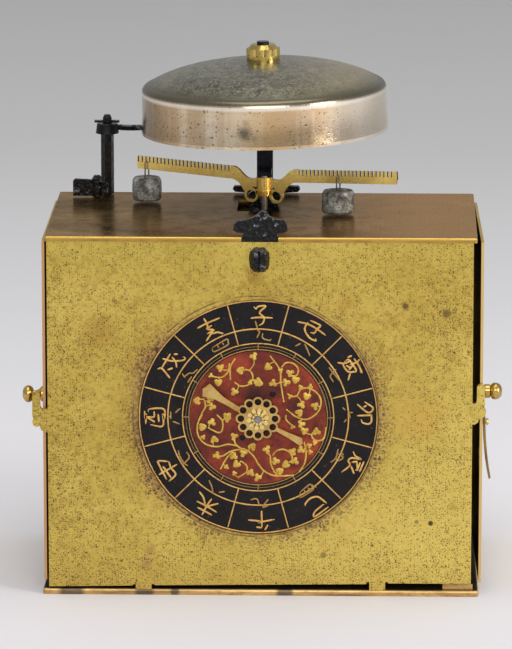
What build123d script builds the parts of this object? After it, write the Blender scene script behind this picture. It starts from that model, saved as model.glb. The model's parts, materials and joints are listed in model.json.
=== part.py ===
from build123d import *
import math
import os

# Table clock in a sheet-brass case: one rotating-hand dial, a foliot above the
# top plate, one bell and its hammer, two hinged side doors, a two-plate movement.
# Units mm. X right, Y back, Z up. Origin: centre of the base plate's bottom face.

os.makedirs("parts", exist_ok=True)

# ---------------------------------------------------------------- case
case_w = 140.0            # width over the top plate
case_d = 80.0             # depth over the top plate
top_z = 119.4             # top face of the top plate
plate_t = 1.6             # top plate
base_t = 1.8              # base plate
base_w = 142.6            # base plate, a little wider than the case
face_t = 1.8              # front and back plates
front_y = -39.7           # front face of the front plate
back_y = 39.7             # outer face of the back plate
under_z = top_z - plate_t
hx = case_w / 2
hy = case_d / 2

# front plate outline
fp_l, fp_r = -69.3, 68.8
fp_bl, fp_br = 2.5, 4.3   # its bottom edge runs slightly uphill
tab_w = 5.2
tab_xl, tab_xr = -38.3, 38.2

# dial
dial_x, dial_z = -0.8, 59.6
dial_hole_r = 39.15
ring_out_r, ring_in_r = 39.05, 22.3
centre_r = 22.1
ring_face_y = -39.1
arbor_hole_r = 1.62

# top plate opening for the bell stand and the verge
open_x0, open_x1 = -9.0, 4.3
open_y0, open_y1 = 5.6, 25.9

# doors
door_t = 0.9
door_z0, door_z1 = 4.2, 117.6
door_in_x = 70.1
hinge_x, hinge_y = 71.2, 34.0
knuckle_r = 1.2
hinge_pin_r = 0.5
ajar_deg = 0.95

# foliot and verge
verge_x, verge_y = 0.0, 8.5
foliot_deg = -18.0
foliot_left, foliot_right = 44.8, 46.3
blade_t = 1.2
slot_n, slot_pitch, slot_w, slot_d = 25, 1.34, 0.56, 1.8
slot_first = 12.5

# bell
post_y = 18.0
bell_r = 41.0
bell_rim_z = top_z + 25.5
bell_side = 14.4
bell_rise = 9.0
bell_wall = 1.6
bell_tilt = 1.4

# hammer and strike lever
ham_x, ham_y = -53.6, 36.0
ham_r = 1.1               # round part of the hammer arbor
lev_x, lev_y = -56.8, 30.0

# movement
mv_f0, mv_f1 = -31.0, -29.2      # front movement plate
mv_b0, mv_b1 = 31.0, 32.8        # rear movement plate
mv_hx, mv_z1 = 41.0, 105.0
pil_x, pil_z0, pil_z1 = 37.0, 7.5, 99.0
pil_r = 2.5
run = 0.05                        # running clearance on radius

# wheel positions (x, z); centre distances follow the tooth counts
m1, wheel1_n, pin_n = 0.8, 48, 12
m2, wheel2_n = 0.7, 48
m3, wheel3_n, crown_pin_n = 0.6, 42, 10
ga = (-20.0, 24.0)
gb = (-22.0, ga[1] + math.sqrt((m1 * 30) ** 2 - 2.0 ** 2))
gc = (-12.0, gb[1] + math.sqrt((m2 * 30) ** 2 - 10.0 ** 2))
gd = (0.0, gc[1] + math.sqrt((m3 * 26) ** 2 - 12.0 ** 2))
sa = (20.0, 24.0)
sb = (22.0, gb[1])
sc = (12.0, gc[1])
hour_n, motion_n = 40, 10
m_hour = 2 * math.hypot(gb[0] - dial_x, gb[1] - dial_z) / (hour_n + motion_n)
crown_r = 10.4


def yp(y, cx=0.0, cz=0.0):
    """Upright plane facing the front; local x is X and local y is Z."""
    return Plane(origin=(cx, y, cz), x_dir=(1, 0, 0), z_dir=(0, -1, 0))


def rod_y(y0, y1, r, cx, cz, mode=Mode.ADD):
    with BuildSketch(yp(y1, cx, cz)) as sk:
        Circle(r)
    extrude(sk.sketch, amount=y1 - y0, mode=mode)


def rod_z(z0, z1, r, cx, cy, mode=Mode.ADD):
    with BuildSketch(Plane.XY.offset(z0)) as sk:
        with Locations((cx, cy)):
            Circle(r)
    extrude(sk.sketch, amount=z1 - z0, mode=mode)


def block(x0, x1, y0, y1, z0, z1, mode=Mode.ADD):
    with BuildSketch(Plane.XY.offset(z0)) as sk:
        with Locations(((x0 + x1) / 2, (y0 + y1) / 2)):
            Rectangle(x1 - x0, y1 - y0)
    extrude(sk.sketch, amount=z1 - z0, mode=mode)


def plate_y(y0, y1, pts, mode=Mode.ADD):
    """Upright sheet between two depths from an outline in X and Z."""
    with BuildSketch(yp(y1)) as sk:
        with BuildLine():
            Polyline(*pts, close=True)
        make_face()
    extrude(sk.sketch, amount=y1 - y0, mode=mode)


def tooth_points(m, n, phase, add=0.8, ded=1.05, thick=0.37, tip=0.2):
    """Outline of a hand-cut wheel with slim tapered teeth."""
    r = m * n / 2
    step = 2 * math.pi / n
    pts = []
    for i in range(n):
        a = phase + i * step
        for rr, h in (
            (r - ded * m, -min(0.46, thick / 2 + 0.10)),
            (r, -thick / 2),
            (r + add * m, -tip / 2),
            (r + add * m, tip / 2),
            (r, thick / 2),
            (r - ded * m, min(0.46, thick / 2 + 0.10)),
        ):
            pts.append((rr * math.cos(a + h * step), rr * math.sin(a + h * step)))
    return pts


def toothed(y0, y1, c, m, n, phase, mode=Mode.ADD):
    with BuildSketch(yp(y1, c[0], c[1])) as sk:
        with BuildLine():
            Polyline(*tooth_points(m, n, phase), close=True)
        make_face()
    extrude(sk.sketch, amount=y1 - y0, mode=mode)


def crossings(y0, y1, c, r_in, r_out, spokes=4, w=2.4, turn=0.0):
    """Open the web of a wheel, leaving straight spokes."""
    with BuildSketch(yp(y1 + 0.5, c[0], c[1])) as sk:
        Circle(r_out)
        Circle(r_in, mode=Mode.SUBTRACT)
        with PolarLocations(0.001, spokes, start_angle=turn):
            with Locations(((r_out + r_in) / 2, 0)):
                Rectangle(r_out - r_in + 2, w, mode=Mode.SUBTRACT)
    extrude(sk.sketch, amount=y1 - y0 + 1.0, mode=Mode.SUBTRACT)


def toward(a, b):
    return math.atan2(b[1] - a[1], b[0] - a[0])


def meet(a, b, n_b):
    """Phase that puts a gap of wheel b on the line from a."""
    return toward(a, b) + math.pi + math.pi / n_b


# ================================================================ case plates
with BuildPart() as base_plate:
    with BuildSketch(Plane.XY):
        RectangleRounded(base_w, case_d, 0.8)
    extrude(amount=base_t)
    fillet(base_plate.edges().filter_by(Axis.X).group_by(Axis.Z)[-1], 0.7)
    # low lip behind the gap under the front plate
    block(59.6, 69.4, -37.7, -36.8, base_t - 0.1, base_t + 1.9)
base_plate.part.label = "base_plate"
export_step(base_plate.part, "parts/base_plate.step")

with BuildPart() as top_plate:
    with BuildSketch(Plane.XY.offset(under_z)):
        RectangleRounded(case_w, case_d, 0.8)
        with Locations(((open_x0 + open_x1) / 2, (open_y0 + open_y1) / 2)):
            RectangleRounded(open_x1 - open_x0, open_y1 - open_y0, 0.6, mode=Mode.SUBTRACT)
        with Locations((-0.25, -hy + 1.7)):
            Rectangle(11.9, 5.6, mode=Mode.SUBTRACT)
        with Locations((0, hy - 1.7)):
            Rectangle(11.9, 5.6, mode=Mode.SUBTRACT)
        with Locations((ham_x, ham_y)):
            Circle(ham_r + run, mode=Mode.SUBTRACT)
        with Locations((lev_x, lev_y)):
            Circle(1.0 + run, mode=Mode.SUBTRACT)
    extrude(amount=plate_t)
    fillet(top_plate.edges().filter_by(Axis.X).group_by(Axis.Z)[-1].group_by(Axis.Y)[0], 0.35)
top_plate.part.label = "top_plate"
export_step(top_plate.part, "parts/top_plate.step")

with BuildPart() as front_plate:
    # sheet with tabs, and an upturned hook at each side
    with BuildSketch(yp(front_y + face_t)):
        with BuildLine():
            Polyline(
                (fp_l, fp_bl), (tab_xl - tab_w / 2 - 1.0, fp_bl + 0.45), (tab_xl - tab_w / 2 - 0.8, fp_bl + 0.9),
                (tab_xl - tab_w / 2, fp_bl + 0.9), (tab_xl - tab_w / 2, base_t), (tab_xl + tab_w / 2, base_t),
                (tab_xl + tab_w / 2, fp_bl + 1.0), (tab_xl + tab_w / 2 + 0.8, fp_bl + 1.0),
                (tab_xl + tab_w / 2 + 1.0, fp_bl + 0.6),
                (tab_xr - tab_w / 2 - 1.0, fp_br - 0.35), (tab_xr - tab_w / 2 - 0.8, fp_br + 0.4),
                (tab_xr - tab_w / 2, fp_br + 0.4), (tab_xr - tab_w / 2, base_t), (tab_xr + tab_w / 2, base_t),
                (tab_xr + tab_w / 2, fp_br + 0.4), (tab_xr + tab_w / 2 + 0.8, fp_br + 0.4),
                (tab_xr + tab_w / 2 + 1.0, fp_br - 0.05),
                (fp_r, fp_br), (fp_r, under_z), (fp_l, under_z),
                close=True,
            )
        make_face()
        with BuildLine():
            Polyline(
                (fp_l + 1.0, 62.1), (-71.3, 62.0), (-71.75, 62.9), (-71.8, 67.1), (-72.4, 67.6), (-73.6, 67.5),
                (-74.25, 66.9), (-74.35, 60.2), (-74.1, 58.9), (-74.4, 57.9), (-74.0, 56.6), (-72.9, 56.1),
                (-72.0, 56.5), (-71.4, 55.0), (-70.2, 54.4), (fp_l + 1.0, 54.3),
                close=True,
            )
        make_face()
        with BuildLine():
            Polyline(
                (fp_r - 1.0, 64.8), (69.8, 64.7), (70.2, 65.5), (70.25, 70.3), (70.8, 71.0), (72.2, 70.9),
                (72.8, 70.3), (72.9, 64.4), (72.7, 63.4), (73.25, 62.3), (73.1, 60.9), (72.2, 59.9),
                (71.2, 59.9), (70.6, 58.4), (69.6, 57.8), (fp_r - 1.0, 57.7),
                close=True,
            )
        make_face()
        with Locations((dial_x, dial_z)):
            Circle(dial_hole_r, mode=Mode.SUBTRACT)
        with Locations((-0.4, 112.0)):
            Circle(1.5, mode=Mode.SUBTRACT)
    extrude(amount=face_t)
front_plate.part.label = "front_plate"
export_step(front_plate.part, "parts/front_plate.step")

with BuildPart() as back_plate:
    with BuildSketch(yp(back_y)):
        with BuildLine():
            Polyline((-69.6, base_t), (69.6, base_t), (69.6, under_z), (-69.6, under_z), close=True)
        make_face()
        with Locations(ga, sa):
            Circle(4.2, mode=Mode.SUBTRACT)
        with Locations((-0.4, 112.0)):
            Circle(1.5, mode=Mode.SUBTRACT)
    extrude(amount=face_t)
back_plate.part.label = "back_plate"
export_step(back_plate.part, "parts/back_plate.step")

# screws with a faceted oval dome and a driver slot, one at each face
with BuildPart() as case_screws:
    for y_in, sgn in ((front_y, -1), (back_y, 1)):
        pl = Plane(origin=(-0.4, y_in, 112.0), x_dir=(1, 0, 0) if sgn < 0 else (-1, 0, 0), z_dir=(0, sgn, 0))
        with BuildSketch(pl):
            with BuildLine():
                Polyline((-1.6, 4.1), (-3.1, 2.6), (-3.4, 0.0), (-3.0, -2.7), (-1.5, -4.1), (1.5, -4.1),
                         (3.0, -2.7), (3.4, 0.0), (3.1, 2.6), (1.6, 4.1), close=True)
            make_face()
        extrude(amount=2.6, taper=24)
        with BuildSketch(pl.offset(2.0)):
            Rectangle(0.9, 9.0)
        extrude(amount=1.0, mode=Mode.SUBTRACT)
        with BuildSketch(pl):
            Circle(1.5)
        extrude(amount=-(face_t + 2.2))
case_screws.part.label = "case_screws"
export_step(case_screws.part, "parts/case_screws.step")

# iron lugs standing in the notches of the top plate
with BuildPart() as front_lug:
    block(-6.0, 5.5, front_y + face_t, front_y + face_t + 2.2, 104.5, under_z)
    block(-6.0, 5.5, -39.6, front_y + face_t + 2.2, under_z, top_z)
    with BuildSketch(yp(-37.2)):
        with BuildLine():
            l1 = Polyline((-6.0, top_z - 0.5), (-5.4, top_z + 1.3), (-7.6, top_z + 1.5), (-8.8, top_z + 2.2),
                          (-8.7, top_z + 4.0), (-7.3, top_z + 5.3))
            l2 = Spline(l1 @ 1, (-5.2, top_z + 5.5), (-3.1, top_z + 6.1), (-0.5, top_z + 7.9))
            l3 = Polyline(l2 @ 1, (0.6, top_z + 8.6), (1.8, top_z + 7.9))
            l4 = Spline(l3 @ 1, (3.4, top_z + 6.3), (5.2, top_z + 5.7), (7.3, top_z + 5.6))
            l5 = Polyline(l4 @ 1, (8.3, top_z + 4.5), (8.7, top_z + 2.1), (7.2, top_z + 1.3), (5.1, top_z + 1.2),
                          (5.5, top_z - 0.5), l1 @ 0)
        make_face()
    extrude(amount=2.4)
    rod_y(front_y + face_t - 0.5, front_y + face_t + 3.0, 1.5, -0.4, 112.0, mode=Mode.SUBTRACT)
front_lug.part.label = "front_lug"
export_step(front_lug.part, "parts/front_lug.step")

with BuildPart() as rear_lug:
    block(-5.7, 5.7, back_y - face_t - 2.2, back_y - face_t, 104.5, under_z)
    block(-5.7, 5.7, back_y - face_t - 2.2, 39.6, under_z, top_z)
    with BuildSketch(yp(39.6)):
        with BuildLine():
            r1 = Polyline((-5.7, top_z - 0.5), (-5.8, top_z + 0.4), (-10.6, top_z + 0.7), (-11.4, top_z + 1.6),
                          (-10.9, top_z + 2.6))
            r2 = Spline(r1 @ 1, (-7.0, top_z + 2.9), (-3.6, top_z + 4.0), (-1.6, top_z + 5.6))
            r3 = Polyline(r2 @ 1, (1.6, top_z + 5.6))
            r4 = Spline(r3 @ 1, (3.6, top_z + 4.0), (7.0, top_z + 2.9), (10.9, top_z + 2.6))
            r5 = Polyline(r4 @ 1, (11.4, top_z + 1.6), (10.6, top_z + 0.7), (5.8, top_z + 0.4),
                          (5.7, top_z - 0.5), r1 @ 0)
        make_face()
    extrude(amount=2.4)
    rod_y(back_y - face_t - 3.0, back_y - face_t + 0.5, 1.5, -0.4, 112.0, mode=Mode.SUBTRACT)
rear_lug.part.label = "rear_lug"
export_step(rear_lug.part, "parts/rear_lug.step")

# ================================================================ doors
kn = ((16.0, 5.0), (21.4, 5.0), (97.0, 5.0), (102.4, 5.0))   # knuckles: start, length
gap = 0.3


def door_sheet(s):
    x0, x1 = sorted((s * door_in_x, s * (door_in_x + door_t)))
    block(x0, x1, -37.4, hinge_y - 0.9, door_z0, door_z1)
    # rolled knuckles of the door sit outside those of the fixed leaves
    for z in (12.0, 24.4, 93.0, 105.4):
        rod_z(z, z + 4.0 - 0.01, knuckle_r, s * hinge_x, hinge_y)
        rod_z(z - 0.5, z + 4.5, hinge_pin_r + run, s * hinge_x, hinge_y, mode=Mode.SUBTRACT)
    # the sheet is cut away beside the fixed knuckles
    for z in (16.0, 97.0):
        block(x0 - 1, x1 + 1, hinge_y - 1.9, hinge_y + 0.1, z - 0.01, z + 8.4, mode=Mode.SUBTRACT)


with BuildPart() as left_door:
    door_sheet(-1)
left_door.part.label = "left_door"
export_step(left_door.part, "parts/left_door.step")

ajar_hole_z = 57.3
with BuildPart() as right_door:
    door_sheet(1)
    # keyhole behind the swinging cover, and the cover's pin hole
    with BuildSketch(Plane(origin=(door_in_x - 1, 0, 0), x_dir=(0, 1, 0), z_dir=(1, 0, 0))):
        with Locations((-33.0, 47.0)):
            Circle(1.6)
        with Locations((-33.0, 44.6)):
            Rectangle(1.5, 4.2)
    extrude(amount=3.0, mode=Mode.SUBTRACT)
    # riveted pin that carries the cover
    with BuildSketch(Plane(origin=(door_in_x + 0.3, 0, 0), x_dir=(0, 1, 0), z_dir=(1, 0, 0))):
        with Locations((-33.0, ajar_hole_z)):
            Circle(0.7)
    extrude(amount=2.2)
    with BuildSketch(Plane(origin=(door_in_x + 2.3, 0, 0), x_dir=(0, 1, 0), z_dir=(1, 0, 0))):
        with Locations((-33.0, ajar_hole_z)):
            Circle(1.3)
    extrude(amount=0.7, taper=30)
right_door_part = right_door.part.rotate(Axis((hinge_x, hinge_y, 0), (0, 0, 1)), ajar_deg)
right_door_part.label = "right_door"
export_step(right_door_part, "parts/right_door.step")

with BuildPart() as hinge_leaves:
    for s in (-1, 1):
        x0, x1 = sorted((s * hx, s * (hx + 1.0)))
        for z in (16.3, 97.3):
            rod_z(z, z + 7.8, knuckle_r, s * hinge_x, hinge_y)
            block(x0, x1, hinge_y + 0.5, back_y, z, z + 7.8)
            rod_z(z - 0.5, z + 8.3, hinge_pin_r, s * hinge_x, hinge_y, mode=Mode.SUBTRACT)
hinge_leaves.part.label = "hinge_leaves"
export_step(hinge_leaves.part, "parts/hinge_leaves.step")

with BuildPart() as hinge_pins:
    for s in (-1, 1):
        for z in (12.0, 93.0):
            rod_z(z, z + 16.4, hinge_pin_r, s * hinge_x, hinge_y)
            rod_z(z - 0.5, z - 0.1, 0.8, s * hinge_x, hinge_y)
            rod_z(z - 0.2, z + 0.2, hinge_pin_r, s * hinge_x, hinge_y)
hinge_pins.part.label = "hinge_pins"
export_step(hinge_pins.part, "parts/hinge_pins.step")

knob_y = -34.4
with BuildPart() as left_door_knob:
    with BuildSketch(Plane(origin=(0, knob_y, 66.0), x_dir=(1, 0, 0), z_dir=(0, -1, 0))):
        with BuildLine():
            k1 = Polyline((-71.0, 0), (-71.0, 2.5), (-71.5, 2.55))
            k2 = Spline(k1 @ 1, (-72.7, 1.45), (-74.2, 1.1))
            k3 = Spline(k2 @ 1, (-74.75, 2.3), (-76.0, 2.8), (-77.1, 2.2), (-77.6, 0.0))
            k4 = Line(k3 @ 1, k1 @ 0)
        make_face()
    revolve(axis=Axis((0, knob_y, 66.0), (1, 0, 0)))
left_door_knob.part.label = "left_door_knob"
export_step(left_door_knob.part, "parts/left_door_knob.step")

with BuildPart() as right_door_knob:
    with BuildSketch(Plane(origin=(0, knob_y, 67.8), x_dir=(1, 0, 0), z_dir=(0, -1, 0))):
        with BuildLine():
            q1 = Polyline((71.0, 0), (71.0, 1.9), (71.4, 2.0), (71.9, 2.25), (73.3, 2.25), (73.6, 1.7))
            q2 = Spline(q1 @ 1, (74.2, 2.5), (75.4, 2.75), (76.7, 2.1), (77.2, 0.0))
            q3 = Line(q2 @ 1, q1 @ 0)
        make_face()
    revolve(axis=Axis((0, knob_y, 67.8), (1, 0, 0)))
right_knob_part = right_door_knob.part.rotate(Axis((hinge_x, hinge_y, 0), (0, 0, 1)), ajar_deg)
right_knob_part.label = "right_door_knob"
export_step(right_knob_part, "parts/right_door_knob.step")

# swinging cover on the right door: a thin leaf that curves outward
with BuildPart() as keyhole_leaf:
    with BuildSketch(Plane(origin=(0, -30.0, 0), x_dir=(1, 0, 0), z_dir=(0, -1, 0))):
        with BuildLine():
            a1 = Spline((71.3, 59.2), (71.5, 52.0), (72.1, 45.0), (73.2, 38.8))
            a2 = Line(a1 @ 1, (73.9, 39.0))
            a3 = Spline(a2 @ 1, (72.9, 45.2), (72.25, 52.1), (72.0, 59.2))
            a4 = Line(a3 @ 1, a1 @ 0)
        make_face()
    extrude(amount=6.0)
    with BuildSketch(Plane(origin=(70.0, 0, 0), x_dir=(0, 1, 0), z_dir=(1, 0, 0))):
        with Locations((-33.0, ajar_hole_z)):
            Circle(0.7 + run)
    extrude(amount=5.0, mode=Mode.SUBTRACT)
keyhole_leaf_part = keyhole_leaf.part.rotate(Axis((hinge_x, hinge_y, 0), (0, 0, 1)), ajar_deg)
keyhole_leaf_part.label = "keyhole_leaf"
export_step(keyhole_leaf_part, "parts/keyhole_leaf.step")

# ================================================================ dial
with BuildPart() as dial_back_plate:
    with BuildSketch(yp(-37.1, dial_x, dial_z)):
        Circle(42.4)
        Circle(arbor_hole_r, mode=Mode.SUBTRACT)
    extrude(amount=0.8)
dial_back_plate.part.label = "dial_back_plate"
export_step(dial_back_plate.part, "parts/dial_back_plate.step")

with BuildPart() as chapter_ring:
    with BuildSketch(yp(-37.9, dial_x, dial_z)):
        Circle(ring_out_r)
        Circle(ring_in_r, mode=Mode.SUBTRACT)
    extrude(amount=-37.9 - ring_face_y)
chapter_ring.part.label = "chapter_ring"
export_step(chapter_ring.part, "parts/chapter_ring.step")

riv = ((3.95, 67.35), (-5.9, 52.8))
with BuildPart() as dial_centre:
    with BuildSketch(yp(-37.9)):
        with Locations((dial_x, dial_z)):
            Circle(centre_r)
            Circle(arbor_hole_r, mode=Mode.SUBTRACT)
        with Locations(*riv):
            Circle(0.7, mode=Mode.SUBTRACT)
    extrude(amount=1.3)
dial_centre.part.label = "dial_centre"
export_step(dial_centre.part, "parts/dial_centre.step")

with BuildPart() as dial_rivets:
    for p in riv:
        rod_y(-39.2, -37.9, 0.7, p[0], p[1])
        with BuildSketch(yp(-39.2, p[0], p[1])):
            Circle(0.95)
        extrude(amount=0.35, taper=30)
dial_rivets.part.label = "dial_rivets"
export_step(dial_rivets.part, "parts/dial_rivets.step")

# outline of the two flared arms, measured from the arbor
hand_arm = [(-3.2, 2.4), (-7.1, 4.5), (-11.1, 7.1), (-13.6, 9.5), (-15.6, 11.6), (-18.0, 9.8), (-18.0, 7.3),
            (-13.9, 6.3), (-10.5, 4.6), (-7.4, 2.7), (-3.8, 0.9)]
hand_tail = [(3.0, -0.9), (7.1, -3.3), (9.9, -4.6), (14.4, -6.4), (14.6, -8.2), (13.6, -8.9), (10.8, -7.0),
             (6.8, -4.6), (2.6, -2.3)]
with BuildPart() as hour_hand:
    with BuildSketch(yp(-40.2, dial_x, dial_z)):
        with BuildLine():
            Polyline(*hand_arm, close=True)
        make_face()
        with BuildLine():
            Polyline(*hand_tail, close=True)
        make_face()
        Circle(5.0)
        with PolarLocations(5.65, 12):
            Circle(1.62)
        with PolarLocations(5.55, 12):
            Circle(1.1, mode=Mode.SUBTRACT)
        Circle(1.3, mode=Mode.SUBTRACT)
    extrude(amount=0.8)
    with BuildSketch(yp(-39.5, dial_x, dial_z)):
        Circle(3.0)
        Circle(1.3, mode=Mode.SUBTRACT)
    extrude(amount=0.7)
hour_hand.part.label = "hour_hand"
export_step(hour_hand.part, "parts/hour_hand.step")

with BuildPart() as hand_rosette:
    with BuildSketch(yp(-41.0, dial_x, dial_z)):
        Circle(2.1)
        with PolarLocations(2.6, 10, start_angle=9):
            Ellipse(1.1, 0.74)
    extrude(amount=0.9)
    with BuildSketch(yp(-41.9, dial_x, dial_z)):
        Circle(2.3)
    extrude(amount=0.6, taper=35)
    rod_y(-43.5, -40.5, 1.1, dial_x, dial_z, mode=Mode.SUBTRACT)
hand_rosette.part.label = "hand_rosette"
export_step(hand_rosette.part, "parts/hand_rosette.step")

with BuildPart() as hour_arbor:
    rod_y(-41.0, -31.2, 1.3, dial_x, dial_z)
    rod_y(-43.0, -40.9, 1.1, dial_x, dial_z)
    rod_y(-31.5, mv_f1 - 0.2, 1.0, dial_x, dial_z)
hour_arbor.part.label = "hour_arbor"
export_step(hour_arbor.part, "parts/hour_arbor.step")

hp = (dial_x, dial_z)
with BuildPart() as hour_wheel:
    toothed(-35.4, -34.0, hp, m_hour, hour_n, toward(gb, hp) + math.pi + math.pi / hour_n)
    crossings(-35.4, -34.0, hp, 4.2, m_hour * hour_n / 2 - 3.2, spokes=4, w=2.6)
    rod_y(-34.1, -32.2, 3.0, dial_x, dial_z)
    rod_y(-36.0, -31.5, 1.3, dial_x, dial_z, mode=Mode.SUBTRACT)
hour_wheel.part.label = "hour_wheel"
export_step(hour_wheel.part, "parts/hour_wheel.step")

# ================================================================ movement frame
fronts = [(ga, 2.0), (gb, 1.2), (gc, 1.0), (gd, 0.9), (sa, 2.0), (sb, 1.2), (sc, 1.0), (hp, 1.0)]
backs = [(ga, 2.0), (gb, 1.2), (gc, 1.0), (sa, 2.0), (sb, 1.2), (sc, 1.0)]


def movement_plate(y0, y1, bores):
    with BuildSketch(yp(y1)) as sk:
        with BuildLine():
            Polyline((-mv_hx, base_t), (mv_hx, base_t), (mv_hx, mv_z1 - 10), (mv_hx - 6, mv_z1), (-mv_hx + 6, mv_z1),
                     (-mv_hx, mv_z1 - 10), close=True)
        make_face()
        for c, r in bores:
            with Locations(c):
                Circle(r + run, mode=Mode.SUBTRACT)
        for x in (-pil_x, pil_x):
            for z in (pil_z0, pil_z1):
                with Locations((x, z)):
                    Circle(1.5, mode=Mode.SUBTRACT)
    extrude(sk.sketch, amount=y1 - y0)


with BuildPart() as movement_front_plate:
    movement_plate(mv_f0, mv_f1, fronts)
movement_front_plate.part.label = "movement_front_plate"
export_step(movement_front_plate.part, "parts/movement_front_plate.step")

with BuildPart() as movement_back_plate:
    movement_plate(mv_b0, mv_b1, backs)
movement_back_plate.part.label = "movement_back_plate"
export_step(movement_back_plate.part, "parts/movement_back_plate.step")

with BuildPart() as pillars:
    for x in (-pil_x, pil_x):
        for z in (pil_z0, pil_z1):
            rod_y(mv_f1, mv_b0, pil_r, x, z)
            rod_y(mv_f0 - 0.5, mv_b1 + 0.5, 1.5, x, z)
            rod_y(mv_f1, mv_f1 + 1.6, 3.4, x, z)
            rod_y(mv_b0 - 1.6, mv_b0, 3.4, x, z)
            # riveted ends
            rod_y(mv_f0 - 0.9, mv_f0, 2.3, x, z)
            rod_y(mv_b1, mv_b1 + 0.9, 2.3, x, z)
pillars.part.label = "pillars"
export_step(pillars.part, "parts/pillars.step")

# iron bridge on the upper pillars with the bell post standing on it
bar_z0, bar_z1 = 95.4, 102.6
bell_o = Vector(0, post_y, bell_rim_z)
t = math.radians(bell_tilt)
bell_up = Vector(-math.sin(t), 0, math.cos(t))
bell_pl = Plane(origin=bell_o, x_dir=(math.cos(t), 0, math.sin(t)), z_dir=(0, -1, 0))
bell_flat = Plane(origin=bell_o, x_dir=(math.cos(t), 0, math.sin(t)), z_dir=bell_up)
seat_h = bell_side + bell_rise - bell_wall
with BuildPart() as bell_stand:
    block(-pil_x - 4.2, pil_x + 4.2, post_y - 2.5, post_y + 2.5, bar_z0, bar_z1)
    for x in (-pil_x, pil_x):
        rod_y(post_y - 3, post_y + 3, pil_r, x, pil_z1, mode=Mode.SUBTRACT)
    block(-2.65, 2.65, post_y - 2.0, post_y + 2.0, bar_z1 - 1, bell_rim_z + seat_h - 0.7)
    # rounded shoulders at the foot, seen through the opening
    rod_y(post_y - 2.0, post_y + 2.0, 2.1, -3.4, top_z + 2.8)
    rod_y(post_y - 2.0, post_y + 2.0, 2.0, 3.2, top_z + 2.8)
    block(-5.2, 3.9, post_y - 1.6, post_y + 1.6, bar_z1 - 1, top_z + 2.0)
    with BuildSketch(bell_flat.offset(seat_h - 1.6)):
        Circle(4.6)
    extrude(amount=1.6)
    with BuildSketch(bell_flat.offset(seat_h - 0.2)):
        Circle(2.0)
    extrude(amount=29.6 - seat_h + 0.2)
bell_stand.part.label = "bell_stand"
export_step(bell_stand.part, "parts/bell_stand.step")

# cock over the foliot hub, let into the post's front face
with BuildPart() as foliot_cock:
    block(-2.4, 2.4, verge_y - 2.6, post_y - 2.0, top_z + 11.8, top_z + 13.2)
    block(-2.4, 2.4, post_y - 3.4, post_y - 2.0, top_z + 11.8, top_z + 19.0)
    rod_z(top_z + 11.0, top_z + 14.0, 0.5 + run, verge_x, verge_y, mode=Mode.SUBTRACT)
foliot_cock.part.label = "foliot_cock"
export_step(foliot_cock.part, "parts/foliot_cock.step")

crown_y1 = 6.3
with BuildPart() as verge_bridge:
    block(-pil_x - 4.2, pil_x + 4.2, -5.0, -1.0, bar_z0, bar_z1)
    for x in (-pil_x, pil_x):
        rod_y(-6, 0, pil_r, x, pil_z1, mode=Mode.SUBTRACT)
    block(-4.0, 4.0, -4.0, -1.6, gd[1] - 5.0, bar_z0 + 1)
    rod_y(-5, 0, 0.9 + run, gd[0], gd[1], mode=Mode.SUBTRACT)
verge_bridge.part.label = "verge_bridge"
export_step(verge_bridge.part, "parts/verge_bridge.step")

pot_z = gd[1] - crown_r - 5.5
with BuildPart() as verge_potence:
    block(-2.4, 2.4, post_y - 5.3, post_y - 2.5, pot_z - 2.6, bar_z1)
    block(-2.4, 2.4, verge_y - 2.6, post_y - 2.5, pot_z - 2.6, pot_z)
    rod_z(pot_z - 3, pot_z + 1, 0.5 + run, verge_x, verge_y, mode=Mode.SUBTRACT)
verge_potence.part.label = "verge_potence"
export_step(verge_potence.part, "parts/verge_potence.step")

# ================================================================ bell
with BuildPart() as bell:
    with BuildSketch(bell_pl):
        with BuildLine():
            o1 = Line((bell_r + 0.1, 0), (bell_r + 0.1, 1.0))
            o2 = Spline(o1 @ 1, (bell_r - 0.35, bell_side * 0.5), (bell_r - 0.35, bell_side - 0.6))
            o3 = Spline(o2 @ 1, (bell_r - 0.85, bell_side + 0.65), (bell_r - 2.3, bell_side + 1.6))
            o4 = Spline(o3 @ 1, (30.0, bell_side + 5.3), (18.0, bell_side + 7.85), (8.0, bell_side + bell_rise))
            o5 = Polyline(o4 @ 1, (2.05, bell_side + bell_rise), (2.05, bell_side + bell_rise - bell_wall),
                          (7.6, bell_side + bell_rise - bell_wall))
            o6 = Spline(o5 @ 1, (18.0, bell_side + 6.2), (29.6, bell_side + 3.7), (bell_r - 4.2, bell_side + 0.6))
            o7 = Spline(o6 @ 1, (bell_r - 2.6, bell_side - 0.4), (bell_r - 2.0, bell_side - 2.2))
            o8 = Spline(o7 @ 1, (bell_r - 1.9, bell_side * 0.45), (bell_r - 1.5, 0.0))
            o9 = Line(o8 @ 1, o1 @ 0)
        make_face()
    revolve(axis=Axis(bell_o, bell_up))
bell.part.label = "bell"
export_step(bell.part, "parts/bell.step")

with BuildPart() as bell_nut:
    with BuildSketch(bell_flat.offset(bell_side + bell_rise)):
        Circle(5.5)
    extrude(amount=1.8)
    with BuildSketch(bell_flat.offset(bell_side + bell_rise + 1.7)):
        Circle(4.9)
        with PolarLocations(3.9, 10, start_angle=9):
            Circle(1.7)
    extrude(amount=2.3)
    with BuildSketch(bell_flat.offset(bell_side + bell_rise + 3.9)):
        Circle(4.9)
    extrude(amount=1.4, taper=38)
    with BuildSketch(bell_flat.offset(bell_side + bell_rise - 0.5)):
        Circle(2.0)
    extrude(amount=7.0, mode=Mode.SUBTRACT)
bell_nut.part.label = "bell_nut"
export_step(bell_nut.part, "parts/bell_nut.step")

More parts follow.
